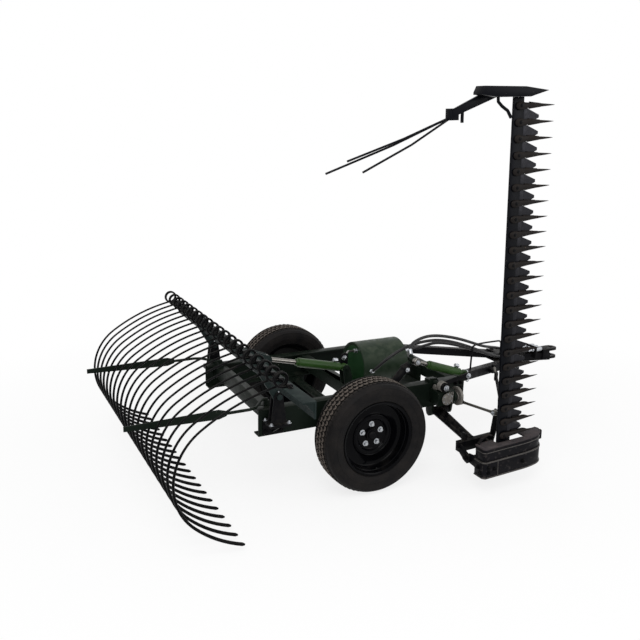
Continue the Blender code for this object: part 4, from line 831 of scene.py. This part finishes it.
tank_port = (at(0.262, -0.1, 0.47), at(0.24, -0.158, 0.497))
port_way = (tank_port[1] - tank_port[0]).normalized()
pipe_route = [at(*p) for p in mm((210, -30, 590), (180, -30, 590), (150, -44, 596), (120, -80, 610),
                                 (82, -130, 618), (48, -172, 618), (30, -190, 613))]
unions = [union(tank_port[1] - port_way * 0.0245, port_way), union(at(0.505, -0.06, 0.56), (1, 0, 0)),
          union(at(0.2085, -0.03, 0.59), (-1, 0, 0)),
          union(pipe_route[-1] + Vector((0.01, 0.01, 0.002)), (-0.7, -0.7, -0.2)),
          round_bar("port", tank_port[0], tank_port[1] - port_way * 0.001, 0.01, 24, 0.001),
          round_bar("port", at(0.494, -0.06, 0.56), at(0.5296, -0.06, 0.56), 0.01, 24, 0.001)]
mount(joined("tank_unions", unions), "chassis", ZINC, "zinc_steel")
# Cold drawn steel, oiled: a warm grey that dulls in patches.
PIPE_STEEL = plated("drawn_steel_pipe", "#7d7a74", "#4a4845", 0.36, 0.9, 10.0)
pipe = bent_bar("tank_pressure_pipe", smooth_line(pipe_route, 0.006), 0.006, 5)
mount(pipe, "chassis", PIPE_STEEL, "zinc_steel")
bracket_line = [at(x, -0.1815, z) for x, z in mm((8, 572), (60, 572), (60, 632), (40, 640), (20, 632))]
mount(flat_piece("pipe_bracket", bracket_line, (0, 0.005, 0)), "chassis", SATIN_BLACK, "black_paint")


# Rake
# Twenty spring tines of 10 mm wire hang from an angle beam that swings on two posts, each held by a clamp.
# A tine is wound twice round at its root, then sweeps back, down and forward to the ground.
TINE_COUNT = 20
TINE_PITCH = 0.09
WIRE_RADIUS = 0.005
BEAM_TOP = 0.763
COIL_RADIUS = 0.032
COIL_X = -0.66
COIL_STEP = 0.0125
COIL_POINTS = 28
TINE_HEADING = 10.5
TINE_ARCS = ((0.4, 24.0, 10), (0.52, 102.0, 24), (0.258, 25.0, 8))
TIP_LENGTH = 0.012
FOOT_REACH = 0.052
CLAMP_X = -0.625
SEAT_GAP = 0.0003
SEAT = BEAM_TOP + WIRE_RADIUS + SEAT_GAP
COIL_START = 270.0
COIL_TURNS = (COIL_START - (TINE_HEADING - 450.0)) / 360.0
COIL_STEPS = round(COIL_TURNS * COIL_POINTS)
# The wire is drawn a little thicker from the coil on, and thickest towards its toe.
COIL_SWELL = 1.1
BEND_SWELL = 1.45
TOE_SWELL = 1.7
back_steps, bend_steps, toe_steps = (pieces for _, _, pieces in TINE_ARCS)
TINE_SWELL = [1.0, 1.0] + [COIL_SWELL] * (COIL_STEPS + back_steps)
TINE_SWELL += [COIL_SWELL + (BEND_SWELL - COIL_SWELL) * i / bend_steps for i in range(1, bend_steps + 1)]
TINE_SWELL += [BEND_SWELL + (TOE_SWELL - BEND_SWELL) * i / toe_steps for i in range(1, toe_steps + 1)] + [0.9]


def tine_line(y):
    # Foot, coil and tooth of one tine, as points of one unbroken wire.
    points = [at(COIL_X + FOOT_REACH, y - COIL_TURNS * COIL_STEP, SEAT)]
    for i in range(COIL_STEPS + 1):
        share = i / COIL_STEPS
        x, z = around(COIL_RADIUS, COIL_START - 360.0 * COIL_TURNS * share)
        points.append(at(COIL_X + x, y - COIL_TURNS * COIL_STEP * (1 - share), SEAT + COIL_RADIUS + z))
    place = points[-1].copy()
    heading = math.radians(TINE_HEADING)
    for length, bend, pieces in TINE_ARCS:
        for _ in range(pieces):
            heading += math.radians(bend) / pieces / 2
            place = place + Vector((-math.cos(heading), 0.0, -math.sin(heading))) * length / pieces
            heading += math.radians(bend) / pieces / 2
            points.append(place.copy())
    return points + [place + (place - points[-2]).normalized() * TIP_LENGTH]


# Paint dipped on spring wire: black and slightly glossy, with brown specks where it has gone.
TINE_BLACK = sprayed("black_spring_wire_paint", "#050506", "#0a0a0c", 0.28, 0.15, chip=0.02, chip_code="#2c2a28")
# Weathered paint on an angle beam: a grey green, lighter than the black paint of its slot as painted sky light on its
# face, and dusted on its top.
BEAM_PAINT_AND_SKY_LIGHT = sprayed("grey_green_beam_paint_and_painted_sky_light", "#161d1d", "#232c2b", 0.36, 0.4, dust_code="#4c5350", chip=0.03)
clamps = []
for i in range(TINE_COUNT):
    tine_y = (i - (TINE_COUNT - 1) / 2) * TINE_PITCH
    tine = bent_bar("tine_wire_%02d" % (i + 1), tine_line(tine_y), WIRE_RADIUS, 3, TINE_SWELL)
    mount(tine, "rake", TINE_BLACK, "tine_black", "rake_tine_%02d" % (i + 1))
    clamps.append((at(CLAMP_X, tine_y - COIL_TURNS * COIL_STEP, BEAM_TOP + SEAT_GAP), (0, 0, 1)))
saddle_line = [(-0.011, y, z) for y, z in mm((-24, 0), (-7.5, 0), (-6.2, 10.8), (6.2, 10.8), (7.5, 0), (24, 0),
        (24, 3.5), (10, 3.5), (8.8, 14.5), (-8.8, 14.5), (-10, 3.5), (-24, 3.5))]
saddle = flat_piece("saddle", saddle_line, (0.022, 0, 0), 0.0006)
mount(repeated("tine_clamps", saddle, [facing(*clamp) for clamp in clamps]), "rake", SATIN_BLACK, "black_paint")
clamp_bolts = [(place + Vector((0.0, dy, 0.0035)), way) for place, way in clamps for dy in (-0.017, 0.017)]
mount(bolts("tine_clamp_bolts", clamp_bolts, 0.0125, 0.0055, False, 0.003), "rake", HUB_FINISH, "black_paint")
dress("rake_beam_steel", "rake_beam", SHEARED_EDGE, "rake", BEAM_PAINT_AND_SKY_LIGHT, "black_paint")
arm_welds = [((-0.5995, y, 0.688), (-0.5995, y, 0.75)) for y in (-0.4915, -0.4685, 0.4685, 0.4915)]
mount(weld_runs("rake_arm_welds", arm_welds), "rake", SATIN_BLACK, "black_paint")
for post_word, side in (("right", -1), ("left", 1)):
    dress("rake_post_steel_" + post_word, "rake_post_" + post_word, SHEARED_EDGE, "chassis", SATIN_BLACK,
          "black_paint")
    shelf_bolts = [(at(x, side * y, 0.4302), (0, 0, 1)) for x, y in mm((-552, 520), (-456, 520), (-552, 440))]
    mount(bolts("rake_post_bolts_" + post_word, shelf_bolts, 0.017, 0.007), "chassis", ZINC, "zinc_steel")
    nipple = mm((0, 0), (4, 0), (4, 4.5), (2.2, 5.5), (2.6, 8.5), (1.2, 10), (0, 10))
    nipples = [turned("nipple", nipple, at(-0.505, side * y, 0.5938), (0, 0, 1), 12) for y in (0.461, 0.499)]
    mount(joined("rake_post_nipples_" + post_word, nipples), "chassis", ZINC, "zinc_steel")


# Cylinders
# Two hydraulic cylinders: a green honed barrel with a welded base eye, a gland nut and a port union.
# Their rods are hard chromed, dulled by an oily film, with an eye welded on.

# Fresh enamel on a honed tube: the one clear green of the machine, with a long highlight.
BARREL_GREEN = sprayed("green_cylinder_enamel", "#1d3314", "#2c4a1e", 0.24, 0.25, gloss=0.18)
# Hard chrome under an oily film: bright, but warm and slightly blurred.
ROD_STEEL = plated("oily_chromed_rod", "#8d8a85", "#5b5955", 0.22, spot_mm=20.0)
BORE_BOTTOM = 0.32


def eye_ring(name, centre, outer, inner, half):
    # A turned bush, lying along Y.
    edge = 0.0012
    ring = [(outer - edge, -half), (outer, -half + edge), (outer, half - edge), (outer - edge, half),
            (inner + edge, half), (inner, half - edge), (inner, -half + edge), (inner + edge, -half)]
    return turned(name, ring, centre, (0, 1, 0), 40)


def turn_about(along, radius, degrees):
    # A point on a circle round a line, from the circle's middle.
    side = along.cross(Vector((0, 0, 1))).normalized()
    across, up = around(radius, degrees)
    return side * across + along.cross(side) * up


def make_cylinder(word, foot, far, length, radius, base_eye, rod_start, rod_radius, rod_eye):
    # Barrel, fittings and rod of one cylinder, each on its own body, from its base eye to its rod's eye.
    along = (far - foot).normalized()
    bore = rod_radius + 0.0006
    shell = [(0.0, 0.0185), (radius * 0.52, 0.0185), (radius * 0.52, 0.036), (radius * 0.62, 0.0385),
             (radius - 0.0022, 0.04), (radius, 0.0425), (radius, length - 0.009), (radius - 0.001, length - 0.008),
             (radius - 0.001, length - 0.006), (radius, length - 0.005), (radius, length - 0.0015),
             (radius - 0.0012, length), (radius * 0.76, length + 0.0002), (radius * 0.76, length + 0.013),
             (radius * 0.7, length + 0.014), (bore, length + 0.014), (bore, length * BORE_BOTTOM),
             (0.0, length * BORE_BOTTOM)]
    parts = [turned("shell", shell, foot, along, 48), eye_ring("base_eye", foot, *base_eye)]
    ring = [foot + along * 0.0408 + turn_about(along, radius - 0.001, i * 10) for i in range(37)]
    parts.append(bent_bar("weld", ring, 0.0022, 2, [1.0 if i % 2 else 0.82 for i in range(37)]))
    mount(joined(word + "_barrel_steel", parts), word + "_barrel", BARREL_GREEN, "barrel_green",
          word + "_cylinder_barrel")
    up = (Vector((0, 0, 1)) - along * along.z).normalized()
    port = foot + along * 0.062 + up * (radius - 0.002)
    fittings = [round_bar("port", port, port + up * 0.014, 0.0082, 6, 0.0008),
                union(port + up * 0.0125 - along * 0.004, along)]
    mount(joined(word + "_barrel_fittings", fittings), word + "_barrel", ZINC, "zinc_steel")
    outer, inner, half = rod_eye
    rod_end = (far - foot).length - outer + 0.001
    stem = [(0.0, rod_start), (rod_radius, rod_start), (rod_radius, rod_end), (0.0, rod_end)]
    rod = [turned("rod", stem, foot, along, 40), eye_ring("rod_eye", far, outer, inner, half)]
    mount(joined(word + "_rod_steel", rod), word + "_rod", ROD_STEEL, "bright_rod", word + "_cylinder_rod")


make_cylinder("rake", at(0.03, -0.2, 0.56), at(-0.445, -0.2, 0.67), 0.3, 0.025, (0.022, 0.0102, 0.0165), 0.168,
              0.0125, (0.022, 0.01, 0.0145))
make_cylinder("lift", at(0.67, -0.45, 0.515), at(0.34, -0.45, 0.628), 0.262, 0.024, (0.022, 0.0102, 0.012), 0.16,
              0.011, (0.02, 0.01, 0.014))


# Drive and lift gear
# A gearbox bolted to the right rail turns a cast crank with a forged pitman, under the bent plate lift lever.
# The drag bar is a painted tube with a welded yoke, steadied by a turnbuckle from the drawbar.

# Sand cast iron: a matt mid grey with a rough grain.
CAST_GREY = plated("grey_cast_iron", "#8b8781", "#514e4a", 0.55, 0.35, 12.0, 0.0006)
CRANK = at(0.61, -0.48, 0.4)
CRANK_RADIUS = 0.038
PITMAN_END = at(0.635, -0.775, 0.4)
dress("lift_lever_plate", "lift_lever", SHEARED_EDGE, "lever", SATIN_BLACK, "cast_grey")
lever_axis = at(0.49, -0.505, 0.48)
boss = mm((27.2, -24), (28.5, -22.5), (28.5, 8), (27.2, 9.5), (15, 9.5), (15, -24))
lever_fittings = [turned("boss", [(r, -h) for r, h in boss], lever_axis, (0, 1, 0), 48)]
mount(joined("lift_lever_boss", lever_fittings), "lever", CAST_GREY, "cast_grey")
mount(bolts("lift_lever_bolts", [(at(0.67, -0.4938, 0.515), (0, -1, 0))], 0.022, 0.008), "lever", ZINC, "zinc_steel")
mount(bolts("lever_shaft_nut", [(at(0.49, -0.5352, 0.48), (0, -1, 0))], 0.024, 0.009), "chassis", ZINC, "zinc_steel")
dress("gearbox_casting", "gearbox", 0.003, "chassis", FRAME_GREEN, "frame_green", 30, 3)
housing = mm((0, 0), (17, 0), (20, 3), (20, 18), (22.5, 20), (22.5, 62), (20, 64), (20, 82), (16, 86), (0, 86))
cover_ring = mm((0, -6), (33, -6), (35, -4), (35, 0), (24, 1), (22, 3.5), (10, 4.5), (0, 4.5))
castings = [turned("bearing_housing", housing, at(0.474, -0.448, 0.456), (1, 0, 0), 48),
            turned("cover", cover_ring, at(0.518, -0.5162, 0.406), (0, -1, 0), 48)]
for fin_x in (0.532, 0.544, 0.556):
    fin = [at(fin_x, y, z) for y, z in mm((-506, 372), (-511.5, 378), (-511.5, 434), (-506, 442), (-503, 442),
            (-503, 372))]
    castings.append(flat_piece("fin", fin, (0.004, 0, 0), 0.0008))
mount(joined("gearbox_bearing_castings", castings), "chassis", CAST_GREY, "cast_grey")
cover_circle = [around(0.0285, 60 * i + 30) for i in range(6)]
cover_bolts = [(at(0.518 + x, -0.5162, 0.406 + z), (0, -1, 0)) for x, z in cover_circle]
mount(bolts("gearbox_cover_bolts", cover_bolts, 0.009, 0.004, False, 0.0), "chassis", ZINC, "zinc_steel")
disc = mm((14.2, -7.5), (21, -8), (22.5, -4), (39, -3), (42, -8), (52, -8), (54, -6), (54, 4.5), (52.5, 6), (43, 6),
          (41, 2), (23, 1), (21, 6.5), (19.5, 8.5), (0, 8.5), (0, -1), (14.2, -1))
weight = [CRANK + Vector((0.0015, *around(0.05, a))) for a in range(14, 167, 8)]
crank = [turned("disc", disc, CRANK, (1, 0, 0), 64), flat_piece("weight", weight, (0.0083, 0, 0)),
         round_bar("crank_pin", CRANK + Vector((-0.002, 0, -CRANK_RADIUS)), CRANK + Vector((0.04, 0, -CRANK_RADIUS)),
                   0.0095, 24, 0.001)]
mount(joined("crank_casting", crank), "crank", CAST_GREY, "cast_grey", "crank_disc")
mount(bolts("crank_pin_nut", [(CRANK + Vector((0.0372, 0, -CRANK_RADIUS)), (1, 0, 0))], 0.019, 0.007), "crank", ZINC,
      "zinc_steel")
big_end = Vector((PITMAN_END.x, CRANK.y, CRANK.z - CRANK_RADIUS))
BIG_EYE = mm((11.2, -10), (19, -10), (20, -8.8), (20, 8.8), (19, 10), (11.2, 10))
SMALL_EYE = mm((0, -9), (15.8, -9), (17, -7.8), (17, 7.8), (15.8, 9), (0, 9))
SHANK_STEPS = 24
shank_line = [big_end.lerp(PITMAN_END, 0.06 + 0.89 * i / SHANK_STEPS) for i in range(SHANK_STEPS + 1)]
shank_swell = [1.0 + 0.35 * max(0.0, 1 - i / 3, (i - SHANK_STEPS + 3) / 3) for i in range(SHANK_STEPS + 1)]
pitman = [turned("big_eye", BIG_EYE, big_end, (1, 0, 0), 40),
          turned("small_eye", SMALL_EYE, PITMAN_END, (1, 0, 0), 40),
          bent_bar("shank", shank_line, 0.0078, 5, shank_swell)]
mount(joined("pitman_forging", pitman), "pitman", PIPE_STEEL, "cast_grey", "pitman_rod")
pitman_bolts = [(PITMAN_END + Vector((way * 0.009, 0, 0)), (way, 0, 0)) for way in (-1, 1)]
mount(bolts("pitman_bolts", pitman_bolts, 0.019, 0.007), "pitman", ZINC, "zinc_steel")
dress("drag_bar_steel", "drag_bar", ROLLED_EDGE, "drag", SATIN_BLACK, "black_paint")
dress("turnbuckle_forging", "turnbuckle_link", 0.0014, "turnbuckle", SATIN_BLACK, "zinc_steel")
LINK_TOP = at(1.05, -0.262, 0.455)
LINK_LOW = at(0.722, -0.738, 0.385)
link_way = (LINK_LOW - LINK_TOP).normalized()
thread_swell = [1.0 if i % 2 else 0.86 for i in range(61)]
threads = []
for start, reach in ((LINK_TOP + link_way * 0.03, 0.11), (LINK_LOW - link_way * 0.14, 0.11)):
    threads.append(bent_bar("thread", [start + link_way * reach * i / 60 for i in range(61)], 0.008, 4, thread_swell))
mount(joined("turnbuckle_threads", threads), "turnbuckle", PIPE_STEEL, "zinc_steel")
drag_bolts = [(at(0.48, -0.69, 0.2), (-1, 0, 0)), (at(0.4735, -0.76, 0.164), (-1, 0, 0)),
              (at(0.68, -0.76, 0.1554), (1, 0, 0))]
mount(bolts("drag_yoke_bolts", drag_bolts, 0.026, 0.009, True, 0.003), "drag", HUB_FINISH, "black_paint")
drag_way = (at(0.58, -0.68, 0.205) - at(0.56, -0.395, 0.287)).normalized()
drag_welds = [weld_bead("weld", [place + turn_about(drag_way, 0.025, a * 15) for a in range(25)], 0.003)
              for place in (at(0.564, -0.43, 0.275), at(0.5787, -0.664, 0.2096))]
mount(joined("drag_bar_welds", drag_welds), "drag", SATIN_BLACK, "black_paint")


# Inner shoe
# A skid welded from plate that carries the bar's inner end: a lower band worn by the ground, an upper band
# set in a little, ribs along both, and a rusty deck. It is drawn for the upright bar and leaned back with it.
HINGE = at(0.575, -0.76, 0.16)
BAR_TILT = math.radians(2.5)
BAR_BACK = at(0.6, -0.862, 0.0)
SHOE_PLAN = mm((-112, 40), (-112, -24), (-98, -38), (195, -38), (285, -18), (325, 36), (315, 64))
SHOE_CORNERS = (0.0, 0.006, 0.006, 0.06, 0.04, 0.014, 0.0)
LEAN = Matrix.Translation(HINGE) @ Matrix.Rotation(-BAR_TILT, 4, "Y") @ Matrix.Translation(-HINGE)


def on_bar(forward, up, along):
    # A point in the upright bar's own terms: forward of its back edge, above its face, along its length.
    return Vector((BAR_BACK.x + forward, BAR_BACK.y + up, along))


def leaned(piece):
    # Leans a piece of the upright bar back about the hinge.
    return settle(piece, LEAN)


def shoe_line(inset, z):
    # The shoe's plan with its corners rounded, drawn in by an inset.
    plan = [Vector(p) for p in SHOE_PLAN]
    line = []
    for i, corner in enumerate(plan):
        reach = SHOE_CORNERS[i]
        if not reach:
            line.append(corner)
            continue
        before = corner + (plan[i - 1] - corner).normalized() * min(reach, (plan[i - 1] - corner).length * 0.49)
        after = corner + (plan[i + 1] - corner).normalized() * min(reach, (plan[i + 1] - corner).length * 0.49)
        for k in range(9):
            t = k / 8
            line.append(before * (1 - t) ** 2 + corner * 2 * t * (1 - t) + after * t ** 2)
    drawn = []
    for i, point in enumerate(line):
        along = (line[min(i + 1, len(line) - 1)] - line[max(i - 1, 0)]).normalized()
        drawn.append(on_bar(point.x - along.y * inset, point.y + along.x * inset, z))
    return drawn


# Paint on a part that drags on soil: black with many dull brown chips.
SHOE_PAINT = sprayed("worn_shoe_paint", "#08080b", "#111115", 0.3, 0.35, dust_code="#54493f", chip=0.14,
                     chip_code="#2b2828")
# Paint that has let the weather in: a dull brown grey, red brown where it has flaked.
DECK_RUST = sprayed("rusty_deck_paint", "#262324", "#423d3f", 0.55, 0.6, dust_code="#5a5352", chip=0.06,
                    chip_code="#58241f", gloss=0.1)
seat_line = [on_bar(*p, 0.185) for p in mm((-30, -28.5), (110, -28.5), (110, -0.3), (-30, -0.3))]
shoe = [flat_piece("lower_band", shoe_line(0.0, 0.095) + shoe_line(0.008, 0.095)[::-1], (0, 0, 0.093)),
        flat_piece("upper_band", shoe_line(0.004, 0.182) + shoe_line(0.012, 0.182)[::-1], (0, 0, 0.078)),
        flat_piece("sole", shoe_line(0.006, 0.099), (0, 0, 0.008)), flat_piece("seat", seat_line, (0, 0, 0.079))]
for low in (0.4965, 0.6385):
    lug = [Vector((HINGE.x + low - 0.575, HINGE.y - 0.135, z)) for z in (0.12, 0.199)]
    lug += [Vector((HINGE.x + low - 0.575, HINGE.y + y, HINGE.z + z))
            for y, z in (around(0.024, a) for a in range(72, -73, -12))]
    shoe.append(flat_piece("lug", lug, (0.0145, 0, 0)))
mount(leaned(joined("inner_shoe_bands", shoe)), "bar", SHOE_PAINT, "black_paint", "inner_shoe")
# Steel scoured by the ground: a brown grey shine along the ribs, partly wear and partly a painted highlight on their
# rounded edges.
RIB_WEAR_AND_HIGHLIGHT = plated("worn_rib_steel_and_painted_highlight", "#4a4643", "#1d1b1a", 0.4, 0.5, 20.0, 0.0005)
ribs = [bent_bar("rib", shoe_line(inset, z), radius, 3)
        for inset, z, radius in mm((2, 186.5, 5.2), (1, 100, 5), (5, 241, 3.2))]
ribs.append(bent_bar("rib", [on_bar(-0.02, -0.0378, z) for z in (0.103, 0.13, 0.16, 0.184)], 0.0032, 3))
mount(leaned(joined("inner_shoe_ribs", ribs)), "bar", RIB_WEAR_AND_HIGHLIGHT, "black_paint")
deck_line = shoe_line(0.003, 0.258)
deck_line += [on_bar(*p, 0.258) for p in mm((186, 56.7), (186, -0.6), (-0.8, -0.6), (-0.8, 46.6))]
deck = [flat_piece("deck", deck_line, (0, 0, 0.01)), bent_bar("rim", shoe_line(0.005, 0.265), 0.0045, 3)]
mount(leaned(joined("inner_shoe_deck", deck)), "bar", DECK_RUST, "black_paint")
shoe_bolts = [(on_bar(f, -0.038, z), (0, -1, 0)) for f, z in mm((-78, 128), (-78, 158), (-40, 144), (150, 144))]
shoe_bolts += [(on_bar(-0.112, n, z), (-1, 0, 0)) for n, z in ((0.01, 0.15), (-0.008, 0.122))]
mount(leaned(bolts("inner_shoe_bolts", shoe_bolts, 0.022, 0.008, True, 0.005)), "bar", HUB_FINISH, "black_paint")
leaf_route = [on_bar(f, 0.02, z) for f, z in mm((-100, 274.5), (-80, 295), (-45, 312), (-12, 306))]
leaf_line = smooth_line(leaf_route, 0.006)
leaf_drop = [p - Vector((0, 0, 0.006)) for p in reversed(leaf_line)]
leaf = flat_piece("leaf", leaf_line + leaf_drop, (0, 0.02, 0), 0.0015)
tab = flat_piece("tab", [on_bar(f, n, 0.205) for f, n in mm((316, 28), (338, 30), (344, 46), (326, 52))],
                 (0, 0, 0.05))
mount(leaned(joined("inner_shoe_leaf_and_tab", [leaf, tab])), "bar", SHOE_PAINT, "black_paint")


# Finger bar and knife
# Twenty-three cast guards are bolted under a flat steel bar, each with a long tapered point and a shorter lip.
# The knife's riveted, serrated sections run in the slot between the two, held down by clips.

# Gloss paint on flat bar: a cold blue black that mirrors the light faintly.
GLOSS_BLACK = sprayed("gloss_black_bar_paint", "#050609", "#0b0c12", 0.24, 0.22, chip=0.01, gloss=0.06)
# Thin paint on malleable castings: a warm black gone brown at its wear.
GUARD_PAINT = sprayed("weathered_guard_paint", "#100e0e", "#1f1b19", 0.38, 0.4, dust_code="#423a34", chip=0.05,
                      chip_code="#3a322c", gloss=0.08)
# Ground and blued knife steel: dark, with a cold shine on the edges.
KNIFE_STEEL = plated("ground_knife_steel", "#27272c", "#111114", 0.36, 0.8, 15.0)
BAR_WIDTH = 0.062
BAR_THICKNESS = 0.012
BAR_INNER = 0.205
BAR_OUTER = 2.02
GUARD_COUNT = 23
GUARD_PITCH = 0.0762
FIRST_GUARD = 0.305
SECTION_COUNT = 22
TOOTH_COUNT = 12
CLIP_COUNT = 5
KNIFE_UNDER = 0.0013
EDGE_BACK = 0.092
EDGE_REACH = 0.071
EDGE_SPREAD = 0.03
GUARD_FLATNESS = 0.46


def along_bar(name, pattern, count=GUARD_COUNT, first=FIRST_GUARD, pitch=GUARD_PITCH):
    # Copies of a piece drawn at along = 0, set at equal steps along the upright bar and leaned with it.
    return repeated(name, pattern, [LEAN @ Matrix.Translation((0.0, 0.0, first + i * pitch)) for i in range(count)])


bar_line = [on_bar(f, 0.0, z)
            for f, z in ((0.004, BAR_INNER), (BAR_WIDTH - 0.004, BAR_INNER), (BAR_WIDTH, BAR_INNER + 0.004),
                         (BAR_WIDTH, BAR_OUTER), (0.0, BAR_OUTER), (0.0, BAR_INNER + 0.004))]
bar = leaned(flat_piece("finger_bar_steel", bar_line, (0, BAR_THICKNESS, 0), 0.0016))
mount(bar, "bar", GLOSS_BLACK, "black_paint", "finger_bar")
GUARD_SHAPE = ((0.009, 0.0, 0.18), (0.012, 0.0, 0.42), (0.018, 0.0, 0.6), (0.027, -0.001, 0.72),
               (0.038, -0.001, 0.75), (0.05, -0.001, 0.68), (0.062, -0.001, 0.58), (0.076, 0.0, 0.51),
               (0.095, 0.0, 0.46), (0.12, 0.0, 0.4), (0.145, 0.0, 0.34), (0.17, 0.0, 0.28), (0.195, 0.0, 0.21),
               (0.218, 0.0, 0.14), (0.236, 0.0, 0.07), (0.245, 0.0, 0.02))
guard_line = [(f, 0.0, z) for f, z, _ in GUARD_SHAPE]
body = bent_bar("guard_body", guard_line, 0.026, 5, [swell for _, _, swell in GUARD_SHAPE])
settle(body, Matrix.Translation(on_bar(0.0, -0.0064, 0.0)) @ Matrix.Diagonal((1.0, GUARD_FLATNESS, 1.0, 1.0)))
lip_route = [on_bar(f, n, 0.0) for f, n in mm((192, -6.5), (190.5, 2), (185, 11), (176, 15.8), (162, 17.2),
        (140, 17.2), (129, 16.8))]
lip = bent_bar("guard_lip", smooth_line(lip_route, 0.0035), 0.0054, 3)
ledger = flat_piece("ledger_plate", [on_bar(f, 0.0012, z) for f, z in mm((92, -17), (165, -9), (165, 9), (92, 17))],
                    (0, 0.0028, 0), 0.0005)
guards = along_bar("cast_guards", joined("guard", [body, lip, ledger]))
mount(guards, "bar", GUARD_PAINT, "black_paint")
guard_bolt = hex_bolt(on_bar(0.036, BAR_THICKNESS, 0.0), (0, 1, 0), 0.0175, 0.008, True, 0.004)
guard_bolt.append(turned("bolt_head", mm((0, 0), (9, 0), (8.6, 1.6), (6, 3.4), (0, 4.2)), on_bar(0.036, -0.0148, 0.0),
                         (0, -1, 0), 20))
mount(along_bar("guard_bolts", joined("guard_bolt", guard_bolt)), "bar", HUB_FINISH, "black_paint")
clip_line = [on_bar(f, n, -0.013) for f, n in mm((10, 12.2), (58, 12.2), (68, 15), (105, 15), (105, 18.5),
                                                 (66, 18.5), (56, 15.7), (10, 15.7))]
clip = [flat_piece("clip_plate", clip_line, (0, 0, 0.026), 0.0008)]
clip += hex_bolt(on_bar(0.026, 0.0157, 0.0), (0, 1, 0), 0.016, 0.007, True, 0.003)
clips = along_bar("knife_clips", joined("clip", clip), CLIP_COUNT, FIRST_GUARD + 2.5 * GUARD_PITCH, 4 * GUARD_PITCH)
mount(clips, "bar", HUB_FINISH, "black_paint")
knife_start = FIRST_GUARD - GUARD_PITCH / 2 + 0.025
edge_line = []
for k in range(TOOTH_COUNT + 1):
    share = k / TOOTH_COUNT
    edge_line.append((EDGE_BACK + EDGE_REACH * share, 0.001 + EDGE_SPREAD * share))
    if k < TOOTH_COUNT:
        forward, aside = share + 0.4 / TOOTH_COUNT, share + 0.5 / TOOTH_COUNT
        edge_line.append((EDGE_BACK + EDGE_REACH * forward, 0.0022 + EDGE_SPREAD * aside))
section_line = [(0.0705, 0.0002)] + edge_line
section_line += [(f, GUARD_PITCH - z) for f, z in reversed(edge_line)] + [(0.0705, 0.076)]
section = flat_piece("section", [on_bar(f, 0.0075, z) for f, z in section_line], (0, 0.0026, 0), 0.0004, 1)
rivets = [round_bar("rivet", on_bar(0.0765, 0.0098, z), on_bar(0.0765, 0.0118, z), 0.0042, 12, 0.001)
          for z in (0.02, 0.056)]
back_line = [(0.0632, 0.0), (0.086, 0.0), (0.086, GUARD_PITCH + 0.0004), (0.0632, GUARD_PITCH + 0.0004)]
back = flat_piece("knife_back", [on_bar(f, KNIFE_UNDER, z) for f, z in back_line], (0, 0.0062, 0), 0.0006)
knife = along_bar("knife_sections", joined("knife_part", [section, back] + rivets), SECTION_COUNT, knife_start,
                  GUARD_PITCH)
head = mm((0, 0), (11.5, 0), (11.5, 10), (9, 12), (9, 18), (11.2, 21), (10, 29), (0, 30))
strap_line = [on_bar(f, KNIFE_UNDER, knife_start + z) for f, z in mm((63.2, -40), (86, -40), (86, 1), (63.2, 1))]
knife_head = [turned("ball_head", head, on_bar(0.076, 0.004, knife_start - 0.03), (0, 1, 0), 32),
              flat_piece("head_strap", strap_line, (0, 0.0072, 0))]
knife_head = leaned(joined("knife_head", knife_head))
mount(joined("knife_steel", [knife, knife_head]), "knife", KNIFE_STEEL, "knife_steel", "knife")


# Outer shoe and swath board
# A plate shoe ends the bar. The swath board on its inner face trails three spring rods that turn the cut
# grass inwards. All is bolted and painted black.
for outer_node in ("outer_shoe", "swath_board"):
    dress(outer_node + "_steel", outer_node, PLATE_EDGE, "bar", GLOSS_BLACK, "black_paint")
outer_bolts = [(on_bar(f, n, BAR_OUTER + z), (0, 1, 0))
               for f, n, z in mm((-50, 40.3, 22), (-85, 40.3, 18), (-318, 58.3, -60), (-318, 58.3, -84))]
mount(leaned(bolts("outer_shoe_bolts", outer_bolts, 0.018, 0.007)), "bar", HUB_FINISH, "black_paint")
